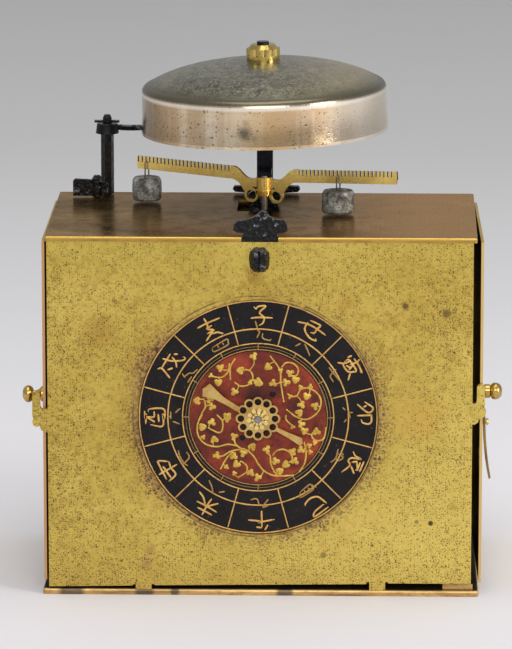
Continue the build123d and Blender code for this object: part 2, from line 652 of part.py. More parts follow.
# ================================================================ foliot
fol_pl = Plane(
    origin=(verge_x, verge_y, top_z),
    x_dir=(math.cos(math.radians(foliot_deg)), math.sin(math.radians(foliot_deg)), 0),
    z_dir=(math.sin(math.radians(foliot_deg)), -math.cos(math.radians(foliot_deg)), 0),
)


def arm(s, length):
    """One half of the blade: straight arm, sweep down to the hub, curl below."""
    with BuildLine() as outline:
        e1 = Polyline((s * 2.2, 10.6), (s * 4.2, 10.4))
        e2 = Spline(e1 @ 1, (s * 6.4, 11.0), (s * 8.6, 13.1), (s * 11.6, 14.15))
        e3 = Polyline(e2 @ 1, (s * length, 15.6), (s * (length + 0.15), 13.2), (s * (length - 0.2), 11.4), (s * 12.0, 9.95))
        e4 = Spline(e3 @ 1, (s * 9.4, 9.2), (s * 7.7, 7.4), (s * 6.0, 5.4), (s * 4.9, 6.6), (s * 2.2, 7.3))
        e5 = Line(e4 @ 1, e1 @ 0)
    make_face(outline.line.edges())


with BuildPart() as foliot:
    with BuildSketch(fol_pl.offset(-blade_t / 2)):
        arm(1, foliot_right)
        arm(-1, foliot_left)
        for s in (-1, 1):
            with Locations((s * 4.35, 4.9)):
                Circle(2.45)
                Circle(1.65, mode=Mode.SUBTRACT)
        for s, length in ((1, foliot_right), (-1, foliot_left)):
            for i in range(slot_n):
                q = slot_first + i * slot_pitch - (0.35 if s < 0 else 0)
                z = 14.15 + (q - 11.6) * (15.6 - 14.15) / (length - 11.6)
                with Locations((s * q, z - slot_d / 2 + 0.25)):
                    Rectangle(slot_w, slot_d + 0.5, mode=Mode.SUBTRACT)
    extrude(amount=blade_t)
    rod_z(top_z + 6.75, top_z + 11.1, 2.65, verge_x, verge_y)
    rod_z(top_z + 2.0, top_z + 12.0, 1.15, verge_x, verge_y, mode=Mode.SUBTRACT)
foliot.part.label = "foliot"
export_step(foliot.part, "parts/foliot.step")

with BuildPart() as foliot_collet:
    rod_z(top_z + 5.5, top_z + 6.75, 2.95, verge_x, verge_y)
    rod_z(top_z + 4.9, top_z + 5.6, 2.3, verge_x, verge_y)
    rod_z(top_z + 3.0, top_z + 7.0, 1.15, verge_x, verge_y, mode=Mode.SUBTRACT)
    with BuildSketch(fol_pl.offset(-blade_t / 2 - 0.02)):
        for s in (-1, 1):
            with Locations((s * 4.35, 4.9)):
                Circle(2.6)
    extrude(amount=blade_t + 0.04, mode=Mode.SUBTRACT)
foliot_collet.part.label = "foliot_collet"
export_step(foliot_collet.part, "parts/foliot_collet.step")

with BuildPart() as verge_arbor:
    rod_z(pot_z + 0.2, top_z + 11.6, 1.15, verge_x, verge_y)
    rod_z(pot_z - 2.2, top_z + 13.0, 0.5, verge_x, verge_y)
    # two pallets about a right angle apart, level with the rim of the crown wheel
    for zc, a in ((gd[1] + crown_r - 1.0, -55.0), (gd[1] - crown_r + 1.0, 235.0)):
        ax = math.radians(a)
        with BuildSketch(Plane(origin=(verge_x, verge_y, zc - 2.0), x_dir=(math.cos(ax), math.sin(ax), 0), z_dir=(0, 0, 1))):
            with Locations((0.95, 0)):
                Rectangle(1.7, 0.7)
        extrude(amount=4.0)
verge_arbor.part.label = "verge_arbor"
export_step(verge_arbor.part, "parts/verge_arbor.step")


def weight_axis(s, q):
    a = math.radians(foliot_deg)
    return verge_x + s * q * math.cos(a), verge_y + s * q * math.sin(a)


wl_q = slot_first + 22 * slot_pitch - 0.35
wr_q = slot_first + 10 * slot_pitch
wl = weight_axis(-1, wl_q)
wr = weight_axis(1, wr_q)


def wire_z(length, q):
    return top_z + 14.15 + (q - 11.6) * (15.6 - 14.15) / (length - 11.6) - slot_d + 0.27


def hook(s, q, length, drop):
    """Hairpin of wire standing astride the blade, its bend lying in a notch."""
    c = weight_axis(s, q)
    a = math.radians(foliot_deg)
    tx, ty = -math.sin(a), math.cos(a)
    zw = wire_z(length, q) + 0.03
    half = 1.7
    with BuildLine() as wire:
        w1 = Line((c[0] - tx * half, c[1] - ty * half, drop), (c[0] - tx * half, c[1] - ty * half, zw - 0.9))
        w2 = Spline(w1 @ 1, (c[0] - tx * half * 0.7, c[1] - ty * half * 0.7, zw - 0.12),
                    (c[0] - tx * 0.75, c[1] - ty * 0.75, zw), tangents=[(0, 0, 1), (tx, ty, 0)])
        w3 = Line(w2 @ 1, (c[0] + tx * 0.75, c[1] + ty * 0.75, zw))
        w4 = Spline(w3 @ 1, (c[0] + tx * half * 0.7, c[1] + ty * half * 0.7, zw - 0.12),
                    (c[0] + tx * half, c[1] + ty * half, zw - 0.9), tangents=[(tx, ty, 0), (0, 0, -1)])
        w5 = Line(w4 @ 1, (c[0] + tx * half, c[1] + ty * half, drop))
    with BuildSketch(Plane(origin=w1 @ 0, z_dir=(0, 0, 1))) as sk:
        Circle(0.24)
    sweep(sections=sk.sketch, path=wire.wires()[0])


w_bottom = top_z + 0.9
with BuildPart() as left_weight_hook:
    hook(-1, wl_q, foliot_left, w_bottom + 7.7)
left_weight_hook.part.label = "left_weight_hook"
export_step(left_weight_hook.part, "parts/left_weight_hook.step")

with BuildPart() as right_weight_hook:
    hook(1, wr_q, foliot_right, w_bottom + 7.4)
right_weight_hook.part.label = "right_weight_hook"
export_step(right_weight_hook.part, "parts/right_weight_hook.step")

with BuildPart() as left_weight:
    with BuildSketch(Plane(origin=(wl[0], wl[1], w_bottom), x_dir=(1, 0, 0), z_dir=(0, -1, 0))):
        with BuildLine():
            Polyline((0, 0), (4.3, 0), (4.75, 0.6), (4.95, 3.4), (4.8, 6.6), (4.2, 7.6), (0, 7.7), close=True)
        make_face()
    revolve(axis=Axis((wl[0], wl[1], 0), (0, 0, 1)))
left_weight.part.label = "left_weight"
export_step(left_weight.part, "parts/left_weight.step")

with BuildPart() as right_weight:
    with BuildSketch(Plane(origin=(wr[0], wr[1], w_bottom), x_dir=(1, 0, 0), z_dir=(0, -1, 0))):
        with BuildLine():
            Polyline((0, 0), (5.1, 0), (5.45, 0.6), (5.3, 6.3), (4.8, 7.2), (0, 7.4), close=True)
        make_face()
    revolve(axis=Axis((wr[0], wr[1], 0), (0, 0, 1)))
right_weight.part.label = "right_weight"
export_step(right_weight.part, "parts/right_weight.step")

# ================================================================ hammer
ham_foot = 51.0
with BuildPart() as hammer_arbor:
    with BuildSketch(Plane.XY.offset(top_z + 0.3)):
        with Locations((ham_x, ham_y)):
            RegularPolygon(2.2, 6, rotation=10)
    extrude(amount=20.6)
    rod_z(ham_foot, top_z + 0.4, ham_r, ham_x, ham_y)
    rod_z(ham_foot - 2.0, ham_foot + 0.1, 0.7, ham_x, ham_y)
    rod_z(top_z + 20.8, top_z + 26.2, 1.5, ham_x, ham_y)
    with BuildSketch(Plane.XY.offset(top_z + 26.1)):
        with Locations((ham_x, ham_y)):
            Circle(1.5)
    extrude(amount=1.1, taper=25)
    with BuildSketch(Plane(origin=(ham_x - 5, ham_y, top_z + 24.9), x_dir=(0, 1, 0), z_dir=(1, 0, 0))):
        Circle(0.5)
    extrude(amount=10, mode=Mode.SUBTRACT)
hammer_arbor.part.label = "hammer_arbor"
export_step(hammer_arbor.part, "parts/hammer_arbor.step")

# the head stands inside the bell, close to its wall
head_a = math.radians(130.0)
head_r = 36.9
head = (head_r * math.cos(head_a), post_y + head_r * math.sin(head_a))
ex, ey = head[0] - ham_x, head[1] - ham_y
el = math.hypot(ex, ey)
with BuildPart() as hammer_arm:
    with BuildSketch(Plane.XY.offset(top_z + 20.95)):
        with Locations((ham_x, ham_y)):
            Circle(3.9)
    extrude(amount=3.2, taper=8)
    with BuildLine():
        h1 = Spline(
            (ham_x + ex * 0.06, ham_y + ey * 0.06, top_z + 23.0),
            (ham_x + ex * 0.3, ham_y + ey * 0.3, top_z + 22.2),
            (ham_x + ex * 0.6, ham_y + ey * 0.6, top_z + 22.3),
            (head[0], head[1], top_z + 22.6),
        )
    with BuildSketch(Plane(origin=h1 @ 0, z_dir=h1 % 0)):
        Circle(1.0)
    sweep()
    rod_z(top_z + 21.5, top_z + 23.7, 2.0, head[0], head[1])
    rod_z(top_z + 20.0, top_z + 25.0, 1.5, ham_x, ham_y, mode=Mode.SUBTRACT)
    rod_z(top_z + 20.9, top_z + 26.0, 1.0, head[0], head[1], mode=Mode.SUBTRACT)
hammer_arm.part.label = "hammer_arm"
export_step(hammer_arm.part, "parts/hammer_arm.step")

with BuildPart() as hammer_head:
    rod_z(top_z + 21.4, top_z + 27.0, 1.0, head[0], head[1])
    with BuildSketch(Plane.XY.offset(top_z + 26.9)):
        with Locations((head[0], head[1])):
            RegularPolygon(1.7, 8)
    extrude(amount=4.6)
    with BuildSketch(Plane.XY.offset(top_z + 31.4)):
        with Locations((head[0], head[1])):
            Circle(1.55)
    extrude(amount=0.5, taper=35)
hammer_head.part.label = "hammer_head"
export_step(hammer_head.part, "parts/hammer_head.step")

with BuildPart() as hammer_pin:
    with BuildSketch(Plane(origin=(ham_x - 4.3, ham_y, top_z + 24.9), x_dir=(0, 1, 0), z_dir=(1, 0, 0))):
        Circle(0.5)
    extrude(amount=8.4)
hammer_pin.part.label = "hammer_pin"
export_step(hammer_pin.part, "parts/hammer_pin.step")

tail_z = 58.0
with BuildPart() as hammer_tail:
    rod_z(tail_z - 2.2, tail_z + 2.2, 1.85, ham_x, ham_y)
    with BuildSketch(Plane.XY.offset(tail_z - 1.0)):
        with BuildLine():
            Polyline((ham_x - 1.2, ham_y - 1.2), (-47.0, 26.6), (6.8, 25.6), (6.8, 27.0), (-46.0, 28.4),
                     (ham_x + 1.5, ham_y + 0.6), close=True)
        make_face()
    extrude(amount=2.0)
    rod_z(tail_z - 3, tail_z + 3, ham_r, ham_x, ham_y, mode=Mode.SUBTRACT)
hammer_tail.part.label = "hammer_tail"
export_step(hammer_tail.part, "parts/hammer_tail.step")

with BuildPart() as hammer_bracket:
    block(ham_x - 4, ham_x + 4, ham_y - 2.6, back_y - face_t, ham_foot - 2.2, ham_foot - 0.2)
    rod_z(ham_foot - 3, ham_foot + 1, 0.7 + run, ham_x, ham_y, mode=Mode.SUBTRACT)
    block(ham_x - 4, ham_x + 4, back_y - face_t - 1.0, back_y - face_t, ham_foot - 9, ham_foot - 2)
hammer_bracket.part.label = "hammer_bracket"
export_step(hammer_bracket.part, "parts/hammer_bracket.step")

with BuildPart() as hammer_spring:
    block(-49.5, -48.6, 24.0, back_y - face_t - 0.9, tail_z - 5, tail_z - 2.6)
    block(-49.5, -44.0, back_y - face_t - 0.9, back_y - face_t, tail_z - 5.8, tail_z - 1.8)
hammer_spring.part.label = "hammer_spring"
export_step(hammer_spring.part, "parts/hammer_spring.step")

# ================================================================ strike lever
with BuildPart() as strike_lever:
    rod_z(top_z + 0.3, top_z + 6.6, 1.7, lev_x, lev_y)
    with BuildSketch(Plane.XY.offset(top_z + 6.5)):
        with Locations((lev_x, lev_y)):
            Circle(1.7)
    extrude(amount=1.0, taper=35)
    plate_y(lev_y - 0.7, lev_y + 0.7, [(-64.9, top_z + 0.5), (lev_x, top_z + 0.5), (lev_x, top_z + 5.9),
                                       (-60.0, top_z + 6.1), (-64.2, top_z + 6.3), (-64.9, top_z + 5.6)])
    plate_y(lev_y - 0.7, lev_y + 0.7, [(lev_x, top_z + 0.7), (-53.2, top_z + 0.9), (-53.0, top_z + 4.6),
                                       (-54.2, top_z + 5.2), (lev_x, top_z + 5.0)])
    rod_z(108.0, top_z + 0.4, 1.0, lev_x, lev_y)
strike_lever.part.label = "strike_lever"
export_step(strike_lever.part, "parts/strike_lever.step")

with BuildPart() as strike_lever_finger:
    rod_z(110.0, 114.0, 2.2, lev_x, lev_y)
    plate_y(lev_y - 0.8, lev_y + 0.8, [(lev_x, 110.5), (-44.0, 110.8), (-44.0, 112.8), (lev_x, 113.5)])
    rod_z(109.0, 115.0, 1.0, lev_x, lev_y, mode=Mode.SUBTRACT)
strike_lever_finger.part.label = "strike_lever_finger"
export_step(strike_lever_finger.part, "parts/strike_lever_finger.step")

# ================================================================ going train
def winding(c, y_in):
    """Fixed-length arbor: front pivot, body inside the drum, square for the key."""
    rod_y(mv_f1 + 0.3, mv_b0 - 0.3, 2.6, c[0], c[1])
    rod_y(mv_f0 + 0.1, mv_b1 + 0.2, 2.0, c[0], c[1])
    with BuildSketch(yp(37.6, c[0], c[1])) as sk:
        Rectangle(2.7, 2.7)
    extrude(sk.sketch, amount=37.6 - mv_b1)


with BuildPart() as going_arbor:
    winding(ga, 0)
going_arbor.part.label = "going_arbor"
export_step(going_arbor.part, "parts/going_arbor.step")

with BuildPart() as strike_arbor:
    winding(sa, 0)
strike_arbor.part.label = "strike_arbor"
export_step(strike_arbor.part, "parts/strike_arbor.step")


def ratchet(y0, y1, c, r, n=24):
    pts = []
    for i in range(n):
        a0 = 2 * math.pi * i / n
        a1 = 2 * math.pi * (i + 1) / n
        pts.append((r * math.cos(a0), r * math.sin(a0)))
        pts.append(((r - 1.0) * math.cos(a1 - 0.02), (r - 1.0) * math.sin(a1 - 0.02)))
    with BuildSketch(yp(y1, c[0], c[1])) as sk:
        with BuildLine():
            Polyline(*pts, close=True)
        make_face()
        Circle(2.6, mode=Mode.SUBTRACT)
    extrude(sk.sketch, amount=y1 - y0)


with BuildPart() as going_ratchet:
    ratchet(28.6, 30.2, ga, 8.0)
going_ratchet.part.label = "going_ratchet"
export_step(going_ratchet.part, "parts/going_ratchet.step")

with BuildPart() as strike_ratchet:
    ratchet(28.6, 30.2, sa, 8.0)
strike_ratchet.part.label = "strike_ratchet"
export_step(strike_ratchet.part, "parts/strike_ratchet.step")

with BuildPart() as clicks:
    for c, s in ((ga, -1), (sa, 1)):
        plate_y(28.7, mv_b0, [(c[0] + s * 8.6, c[1] + 1.0), (c[0] + s * 10.4, c[1] + 0.6), (c[0] + s * 12.6, c[1] + 7.6),
                              (c[0] + s * 10.4, c[1] + 8.8), (c[0] + s * 9.4, c[1] + 5.6)])
clicks.part.label = "clicks"
export_step(clicks.part, "parts/clicks.step")


def drum(y0, y1, c, wheel_y0, phase):
    """Spring drum with its toothed great wheel."""
    rod_y(y0, y1, 15.0, c[0], c[1])
    rod_y(y0, y0 + 1.2, 15.8, c[0], c[1])
    rod_y(y1 - 1.2, y1, 15.8, c[0], c[1])
    toothed(wheel_y0, wheel_y0 + 1.6, c, m1, wheel1_n, phase)
    rod_y(min(y0, wheel_y0) - 1, max(y1, wheel_y0 + 1.6) + 1, 2.6 + run, c[0], c[1], mode=Mode.SUBTRACT)


with BuildPart() as going_drum:
    drum(-26.0, -7.0, ga, -7.0, toward(ga, gb))
going_drum.part.label = "going_drum"
export_step(going_drum.part, "parts/going_drum.step")

with BuildPart() as second_arbor:
    # motion pinion outside the front plate, pinion and wheel between the plates
    toothed(-36.2, -33.2, gb, m_hour, motion_n, toward(gb, hp))
    rod_y(-33.3, mv_b1 - 0.4, 1.2, gb[0], gb[1])
    rod_y(mv_f1 + 0.3, mv_b0 - 0.3, 1.7, gb[0], gb[1])
    toothed(-8.6, -3.8, gb, m1, pin_n, meet(ga, gb, pin_n))
    toothed(1.0, 2.4, gb, m2, wheel2_n, toward(gb, gc))
    crossings(1.0, 2.4, gb, 4.6, m2 * wheel2_n / 2 - 2.9)
    rod_y(0.2, 3.6, 3.0, gb[0], gb[1])
second_arbor.part.label = "second_arbor"
export_step(second_arbor.part, "parts/second_arbor.step")

with BuildPart() as third_arbor:
    rod_y(mv_f0 + 0.3, mv_b1 - 0.4, 1.0, gc[0], gc[1])
    rod_y(mv_f1 + 0.3, mv_b0 - 0.3, 1.4, gc[0], gc[1])
    toothed(-0.6, 4.0, gc, m2, pin_n, meet(gb, gc, pin_n))
    toothed(-16.0, -14.7, gc, m3, wheel3_n, toward(gc, gd))
    crossings(-16.0, -14.7, gc, 3.8, m3 * wheel3_n / 2 - 2.5)
    rod_y(-16.8, -13.6, 2.6, gc[0], gc[1])
third_arbor.part.label = "third_arbor"
export_step(third_arbor.part, "parts/third_arbor.step")

crown_n = 21
with BuildPart() as crown_arbor:
    rod_y(mv_f0 + 0.3, -0.6, 0.9, gd[0], gd[1])
    rod_y(mv_f1 + 0.3, -4.4, 1.3, gd[0], gd[1])
    toothed(-17.4, -13.4, gd, m3, crown_pin_n, meet(gc, gd, crown_pin_n))
    # cup with saw teeth facing the verge
    rod_y(-1.1, 1.0, 2.4, gd[0], gd[1])
    rod_y(-0.2, 1.0, crown_r, gd[0], gd[1])
    crossings(-0.2, 1.0, gd, 3.2, crown_r - 1.8, spokes=4, w=1.8)
    rod_y(0.9, crown_y1, crown_r, gd[0], gd[1])
    rod_y(0.95, crown_y1 + 0.5, crown_r - 0.9, gd[0], gd[1], mode=Mode.SUBTRACT)
    for i in range(crown_n):
        with BuildSketch(Plane(origin=(gd[0], 0, gd[1]), x_dir=(1, 0, 0), z_dir=(0, 0, 1)).rotated((0, 360 * i / crown_n, 0))):
            with BuildLine():
                Polyline((-0.25, crown_y1 + 1), (-0.25, crown_y1 - 0.02), (-1.05, crown_y1 - 2.9), (1.3, crown_y1 - 2.9),
                         (1.95, crown_y1 - 0.9), (2.3, crown_y1 + 1), close=True)
            make_face()
        extrude(amount=crown_r + 1, mode=Mode.SUBTRACT)
crown_arbor.part.label = "crown_arbor"
export_step(crown_arbor.part, "parts/crown_arbor.step")

# ================================================================ striking train
with BuildPart() as strike_drum:
    drum(6.0, 20.0, sa, 4.4, toward(sa, sb))
strike_drum.part.label = "strike_drum"
export_step(strike_drum.part, "parts/strike_drum.step")

with BuildPart() as count_wheel:
    with BuildSketch(yp(22.0, sa[0], sa[1])):
        Circle(17.0)
        Circle(14.2, mode=Mode.SUBTRACT)
        Rectangle(2.6, 30.0)
        Rectangle(30.0, 2.6)
        Circle(5.0)
        Circle(2.6 + run, mode=Mode.SUBTRACT)
        for a in (0, 25, 58, 99, 148, 205, 238, 263, 300, 330):
            with Locations((17.0 * math.cos(math.radians(a)), 17.0 * math.sin(math.radians(a)))):
                Circle(0.9, mode=Mode.SUBTRACT)
    extrude(amount=1.2)
    rod_y(20.0, 21.0, 5.0, sa[0], sa[1])
    rod_y(19.0, 23.0, 2.6 + run, sa[0], sa[1], mode=Mode.SUBTRACT)
count_wheel.part.label = "count_wheel"
export_step(count_wheel.part, "parts/count_wheel.step")

with BuildPart() as pin_wheel_arbor:
    rod_y(mv_f0 + 0.3, mv_b1 - 0.4, 1.2, sb[0], sb[1])
    rod_y(mv_f1 + 0.3, mv_b0 - 0.3, 1.7, sb[0], sb[1])
    toothed(2.8, 7.4, sb, m1, pin_n, meet(sa, sb, pin_n))
    toothed(23.5, 24.9, sb, m2, wheel2_n, toward(sb, sc))
    crossings(23.5, 24.9, sb, 4.6, m2 * wheel2_n / 2 - 4.2)
    rod_y(22.5, 26.0, 3.0, sb[0], sb[1])
    with BuildSketch(yp(28.0, sb[0], sb[1])):
        with PolarLocations(m2 * wheel2_n / 2 - 2.6, 8):
            Circle(0.8)
    extrude(amount=3.2)
pin_wheel_arbor.part.label = "pin_wheel_arbor"
export_step(pin_wheel_arbor.part, "parts/pin_wheel_arbor.step")

with BuildPart() as fly_arbor:
    rod_y(mv_f0 + 0.3, mv_b1 - 0.4, 1.0, sc[0], sc[1])
    rod_y(mv_f1 + 0.3, mv_b0 - 0.3, 1.4, sc[0], sc[1])
    toothed(22.0, 26.5, sc, m2, pin_n, meet(sb, sc, pin_n))
    plate_y(-24.0, -12.0, [(sc[0] - 8.5, sc[1] - 0.4), (sc[0] + 8.5, sc[1] - 0.4),
                           (sc[0] + 8.5, sc[1] + 0.4), (sc[0] - 8.5, sc[1] + 0.4)])
    rod_y(-25.0, -11.0, 2.0, sc[0], sc[1])
fly_arbor.part.label = "fly_arbor"
export_step(fly_arbor.part, "parts/fly_arbor.step")
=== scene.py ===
import json
import math
import random

import bmesh
import bpy
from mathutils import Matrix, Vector


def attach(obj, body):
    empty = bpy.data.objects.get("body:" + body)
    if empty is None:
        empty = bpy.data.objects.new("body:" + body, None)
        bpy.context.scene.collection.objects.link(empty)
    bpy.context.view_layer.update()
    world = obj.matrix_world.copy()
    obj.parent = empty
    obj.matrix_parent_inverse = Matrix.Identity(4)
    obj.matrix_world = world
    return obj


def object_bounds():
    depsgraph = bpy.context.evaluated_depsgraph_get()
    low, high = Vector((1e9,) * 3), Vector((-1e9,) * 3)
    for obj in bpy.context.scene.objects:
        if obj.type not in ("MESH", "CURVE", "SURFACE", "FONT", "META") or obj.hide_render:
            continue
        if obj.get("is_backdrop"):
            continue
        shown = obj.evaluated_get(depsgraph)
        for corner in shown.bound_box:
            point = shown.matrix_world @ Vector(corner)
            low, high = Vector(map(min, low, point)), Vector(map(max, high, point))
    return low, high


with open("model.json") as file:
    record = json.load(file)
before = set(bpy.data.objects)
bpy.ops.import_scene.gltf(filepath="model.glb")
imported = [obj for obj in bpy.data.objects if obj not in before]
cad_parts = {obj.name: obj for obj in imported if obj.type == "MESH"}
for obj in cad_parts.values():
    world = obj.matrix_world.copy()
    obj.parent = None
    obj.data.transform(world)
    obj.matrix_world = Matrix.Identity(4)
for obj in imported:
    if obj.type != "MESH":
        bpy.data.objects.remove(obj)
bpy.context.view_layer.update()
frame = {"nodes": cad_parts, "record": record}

rng = random.Random(7)
MM = 0.001

# The dial, in mm: its centre in the front view, and the face planes of the ring and of the centre disc.
dial_x, dial_z = -0.8, 59.6
ring_face_y, centre_face_y = -39.1, -39.2
outer_r = 38.7
band_rs = (38.7, 29.4, 24.6, 22.55)

# Brush strokes of the dial, in mm right of and above its centre.
SIGNS = [
    [(-1.45, 36.85), (-0.66, 36.06), (-0.07, 36.85), (2.42, 36.98), (0.46, 34.89), (1.9, 33.19), (1.5, 31.36), (0.2, 30.57)],
    [(-2.5, 32.92), (-0.07, 33.24), (4.77, 33.13)],
    [(12.75, 31.88), (16.15, 31.09), (19.02, 29.52), (21.9, 27.43)],
    [(16.8, 32.4), (19.81, 30.96), (20.07, 30.31), (19.02, 29.52), (18.24, 28.22), (16.93, 28.35)],
    [(16.15, 31.75), (15.1, 29.79), (15.62, 27.96), (16.93, 26.39), (18.76, 25.6), (18.5, 26.39)],
    [(28.96, 20.11), (30.4, 20.77)],
    [(31.05, 19.85), (32.62, 17.5), (33.67, 15.14), (33.01, 15.54)],
    [(32.88, 19.59), (31.97, 18.54), (29.74, 17.76)],
    [(28.17, 18.8), (27.65, 17.5), (29.22, 15.41), (31.05, 15.41), (31.83, 15.93), (29.48, 19.33), (28.17, 18.8)],
    [(28.44, 17.5), (30, 16.71)],
    [(28.04, 18.02), (30, 19.07)],
    [(29.48, 15.93), (30.79, 17.76)],
    [(25.69, 18.41), (27.65, 18.15)],
    [(29.87, 14.88), (29.22, 12.53)],
    [(32.1, 4.68), (35.76, 1.81), (37.33, 3.38), (34.45, 5.47)],
    [(34.19, 3.64), (35.23, 4.16)],
    [(32.1, 0.76), (36.54, 0.95), (36.8, 0.89), (36.8, -1.21), (35.76, -1.99), (33.93, -1.47), (33.53, -0.42)],
    [(30.92, -11.14), (31.7, -12.71), (33.53, -13.76), (30.53, -13.37), (29.35, -14.28), (29.87, -15.85), (27.13, -18.2)],
    [(30.4, -14.8), (32.36, -14.54)],
    [(30.27, -16.11), (31.31, -18.73)],
    [(32.1, -14.28), (32.36, -17.42), (31.7, -17.16)],
    [(33.27, -14.8), (32.36, -17.16)],
    [(34.45, -14.54), (33.01, -18.07)],
    [(15.62, -29.45), (15.36, -28.92), (16.93, -27.09), (19.28, -26.44), (20.85, -27.35), (22.42, -28.66)],
    [(21.38, -28.92), (18.5, -31.54), (18.5, -33.11), (22.94, -29.84)],
    [(-3.28, -34.41), (0.59, -34.81), (-0.07, -35.2), (5.43, -34.15)],
    [(1.11, -31.28), (1.24, -37.03)],
    [(-0.66, -36.77), (1.24, -37.03)],
    [(3.2, -35.98), (2.16, -37.81)],
    [(-20.14, -28.14), (-16.88, -29.84), (-13.48, -31.93)],
    [(-19.88, -30.23), (-15.05, -32.85)],
    [(-15.18, -27.35), (-16.75, -29.71), (-18.45, -32.98)],
    [(-19.23, -25), (-17.92, -26.83), (-17.27, -29.45)],
    [(-12.95, -28.92), (-16.61, -29.92)],
    [(-29.17, -14.93), (-32.57, -14.8), (-32.3, -16.11), (-29.82, -21.08)],
    [(-29.17, -14.93), (-28.38, -17.16), (-26.94, -19.25), (-29.17, -21.6)],
    [(-31.13, -16.5), (-28.38, -20.42)],
    [(-32.43, -19.38), (-26.42, -15.85)],
    [(-37.01, 1.94), (-36.75, -0.75), (-36.49, 0.89), (-36.62, -2.51)],
    [(-35.7, 1.68), (-35.44, 2.59), (-30.73, 2.59), (-30.6, -0.75), (-31, 0.89), (-31.13, -3.04), (-35.18, -2.64)],
    [(-33.87, 1.81), (-34, -0.02), (-36.49, -0.02)],
    [(-36.23, -0.16), (-33.61, -1.73)],
    [(-32.57, 0.89), (-32.3, -1.73)],
    [(-31.13, 19.46), (-28.38, 18.67), (-24.72, 18.8), (-23.67, 19.59), (-24.46, 20.11)],
    [(-27.47, 20.9), (-26.03, 20.9)],
    [(-27.99, 19.98), (-26.81, 18.28), (-26.42, 16.45)],
    [(-28.51, 21.03), (-30.47, 17.76), (-31.39, 16.19)],
    [(-32.7, 15.93), (-31.26, 16.06), (-28.64, 12.92)],
    [(-29.43, 15.67), (-27.73, 16.32)],
    [(-17.66, 32.92), (-16.75, 31.36)],
    [(-19.75, 29.52), (-16.88, 31.09), (-12.43, 33.05)],
    [(-16.75, 31.36), (-16.35, 30.05), (-16.88, 29.26)],
    [(-15.05, 30.57), (-16.48, 29.26), (-14.39, 29), (-16.61, 27.69)],
    [(-14.52, 29), (-16.88, 25.21)],
    [(-15.05, 27.69), (-13.22, 28.22), (-11.25, 27.83)],
]
NUMERALS = [
    [(-0.93, 32.14), (-0.07, 29), (0.46, 28.48), (0.2, 27.43)],
    [(0.59, 28.74), (-0.4, 26.39)],
    [(1.5, 28.09), (1.5, 26.39), (3.86, 25.6), (4.12, 26.26)],
    [(13.79, 24.69), (11.96, 23.77)],
    [(15.1, 24.56), (16.15, 22.2), (16.8, 20.5)],
    [(22.94, 16.84), (24.77, 14.49), (26.61, 12.27)],
    [(25.3, 16.19), (23.6, 14.36), (23.47, 13.57), (24.51, 11.88)],
    [(27.39, 3.51), (28.44, 2.59)],
    [(29.22, 2.59), (30, -0.02)],
    [(29.48, 1.81), (30.79, 1.81)],
    [(27.91, -1.47), (28.7, -0.42)],
    [(23.6, -14.93), (25.3, -13.37), (26.08, -10.36)],
    [(25.04, -13.37), (26.08, -14.28), (27.65, -13.23), (26.08, -11.93)],
    [(27.91, -12.45), (26.87, -11.4)],
    [(13.79, -24.87), (16.67, -22.39), (17.32, -22.65), (17.98, -23.95), (14.19, -26.57), (13.53, -26.31), (13.79, -24.87)],
    [(14.97, -24.22), (15.62, -25.26)],
    [(16.15, -23.43), (17.19, -24.22)],
    [(17.32, -22.39), (19.02, -23.3)],
    [(-2.5, -27.62), (-0.4, -27.35), (0.38, -29.71)],
    [(3.33, -27.35), (1.5, -29.97), (3.33, -29.58)],
    [(-16.09, -21.08), (-15.18, -23.17), (-14.65, -25.79)],
    [(-12.95, -25.26), (-10.86, -24.87)],
    [(-26.03, -11.14), (-25.51, -13.23), (-24.2, -15.33), (-22.89, -16.37)],
    [(-23.41, -11.67), (-22.5, -13.5), (-24.72, -16.11)],
    [(-28.51, 1.81), (-28.38, -0.75)],
    [(-27.07, 1.29), (-25.37, 2.85)],
    [(-27.86, -1.47), (-25.51, -2.38)],
    [(-29.43, 0.1), (-28.25, 0.1)],
    [(-24.72, 14.49), (-23.67, 13.05)],
    [(-19.75, 15.93), (-21.19, 14.62), (-22.37, 14.62), (-24.2, 13.31)],
    [(-21.58, 13.57), (-22.89, 11.48)],
    [(-14.92, 22.86), (-14.26, 21.81), (-9.95, 24.03), (-9.82, 25.08), (-10.21, 25.99), (-14.92, 23.12)],
    [(-13.22, 24.03), (-12.69, 22.99)],
    [(-11.65, 24.82), (-11.12, 24.03)],
]
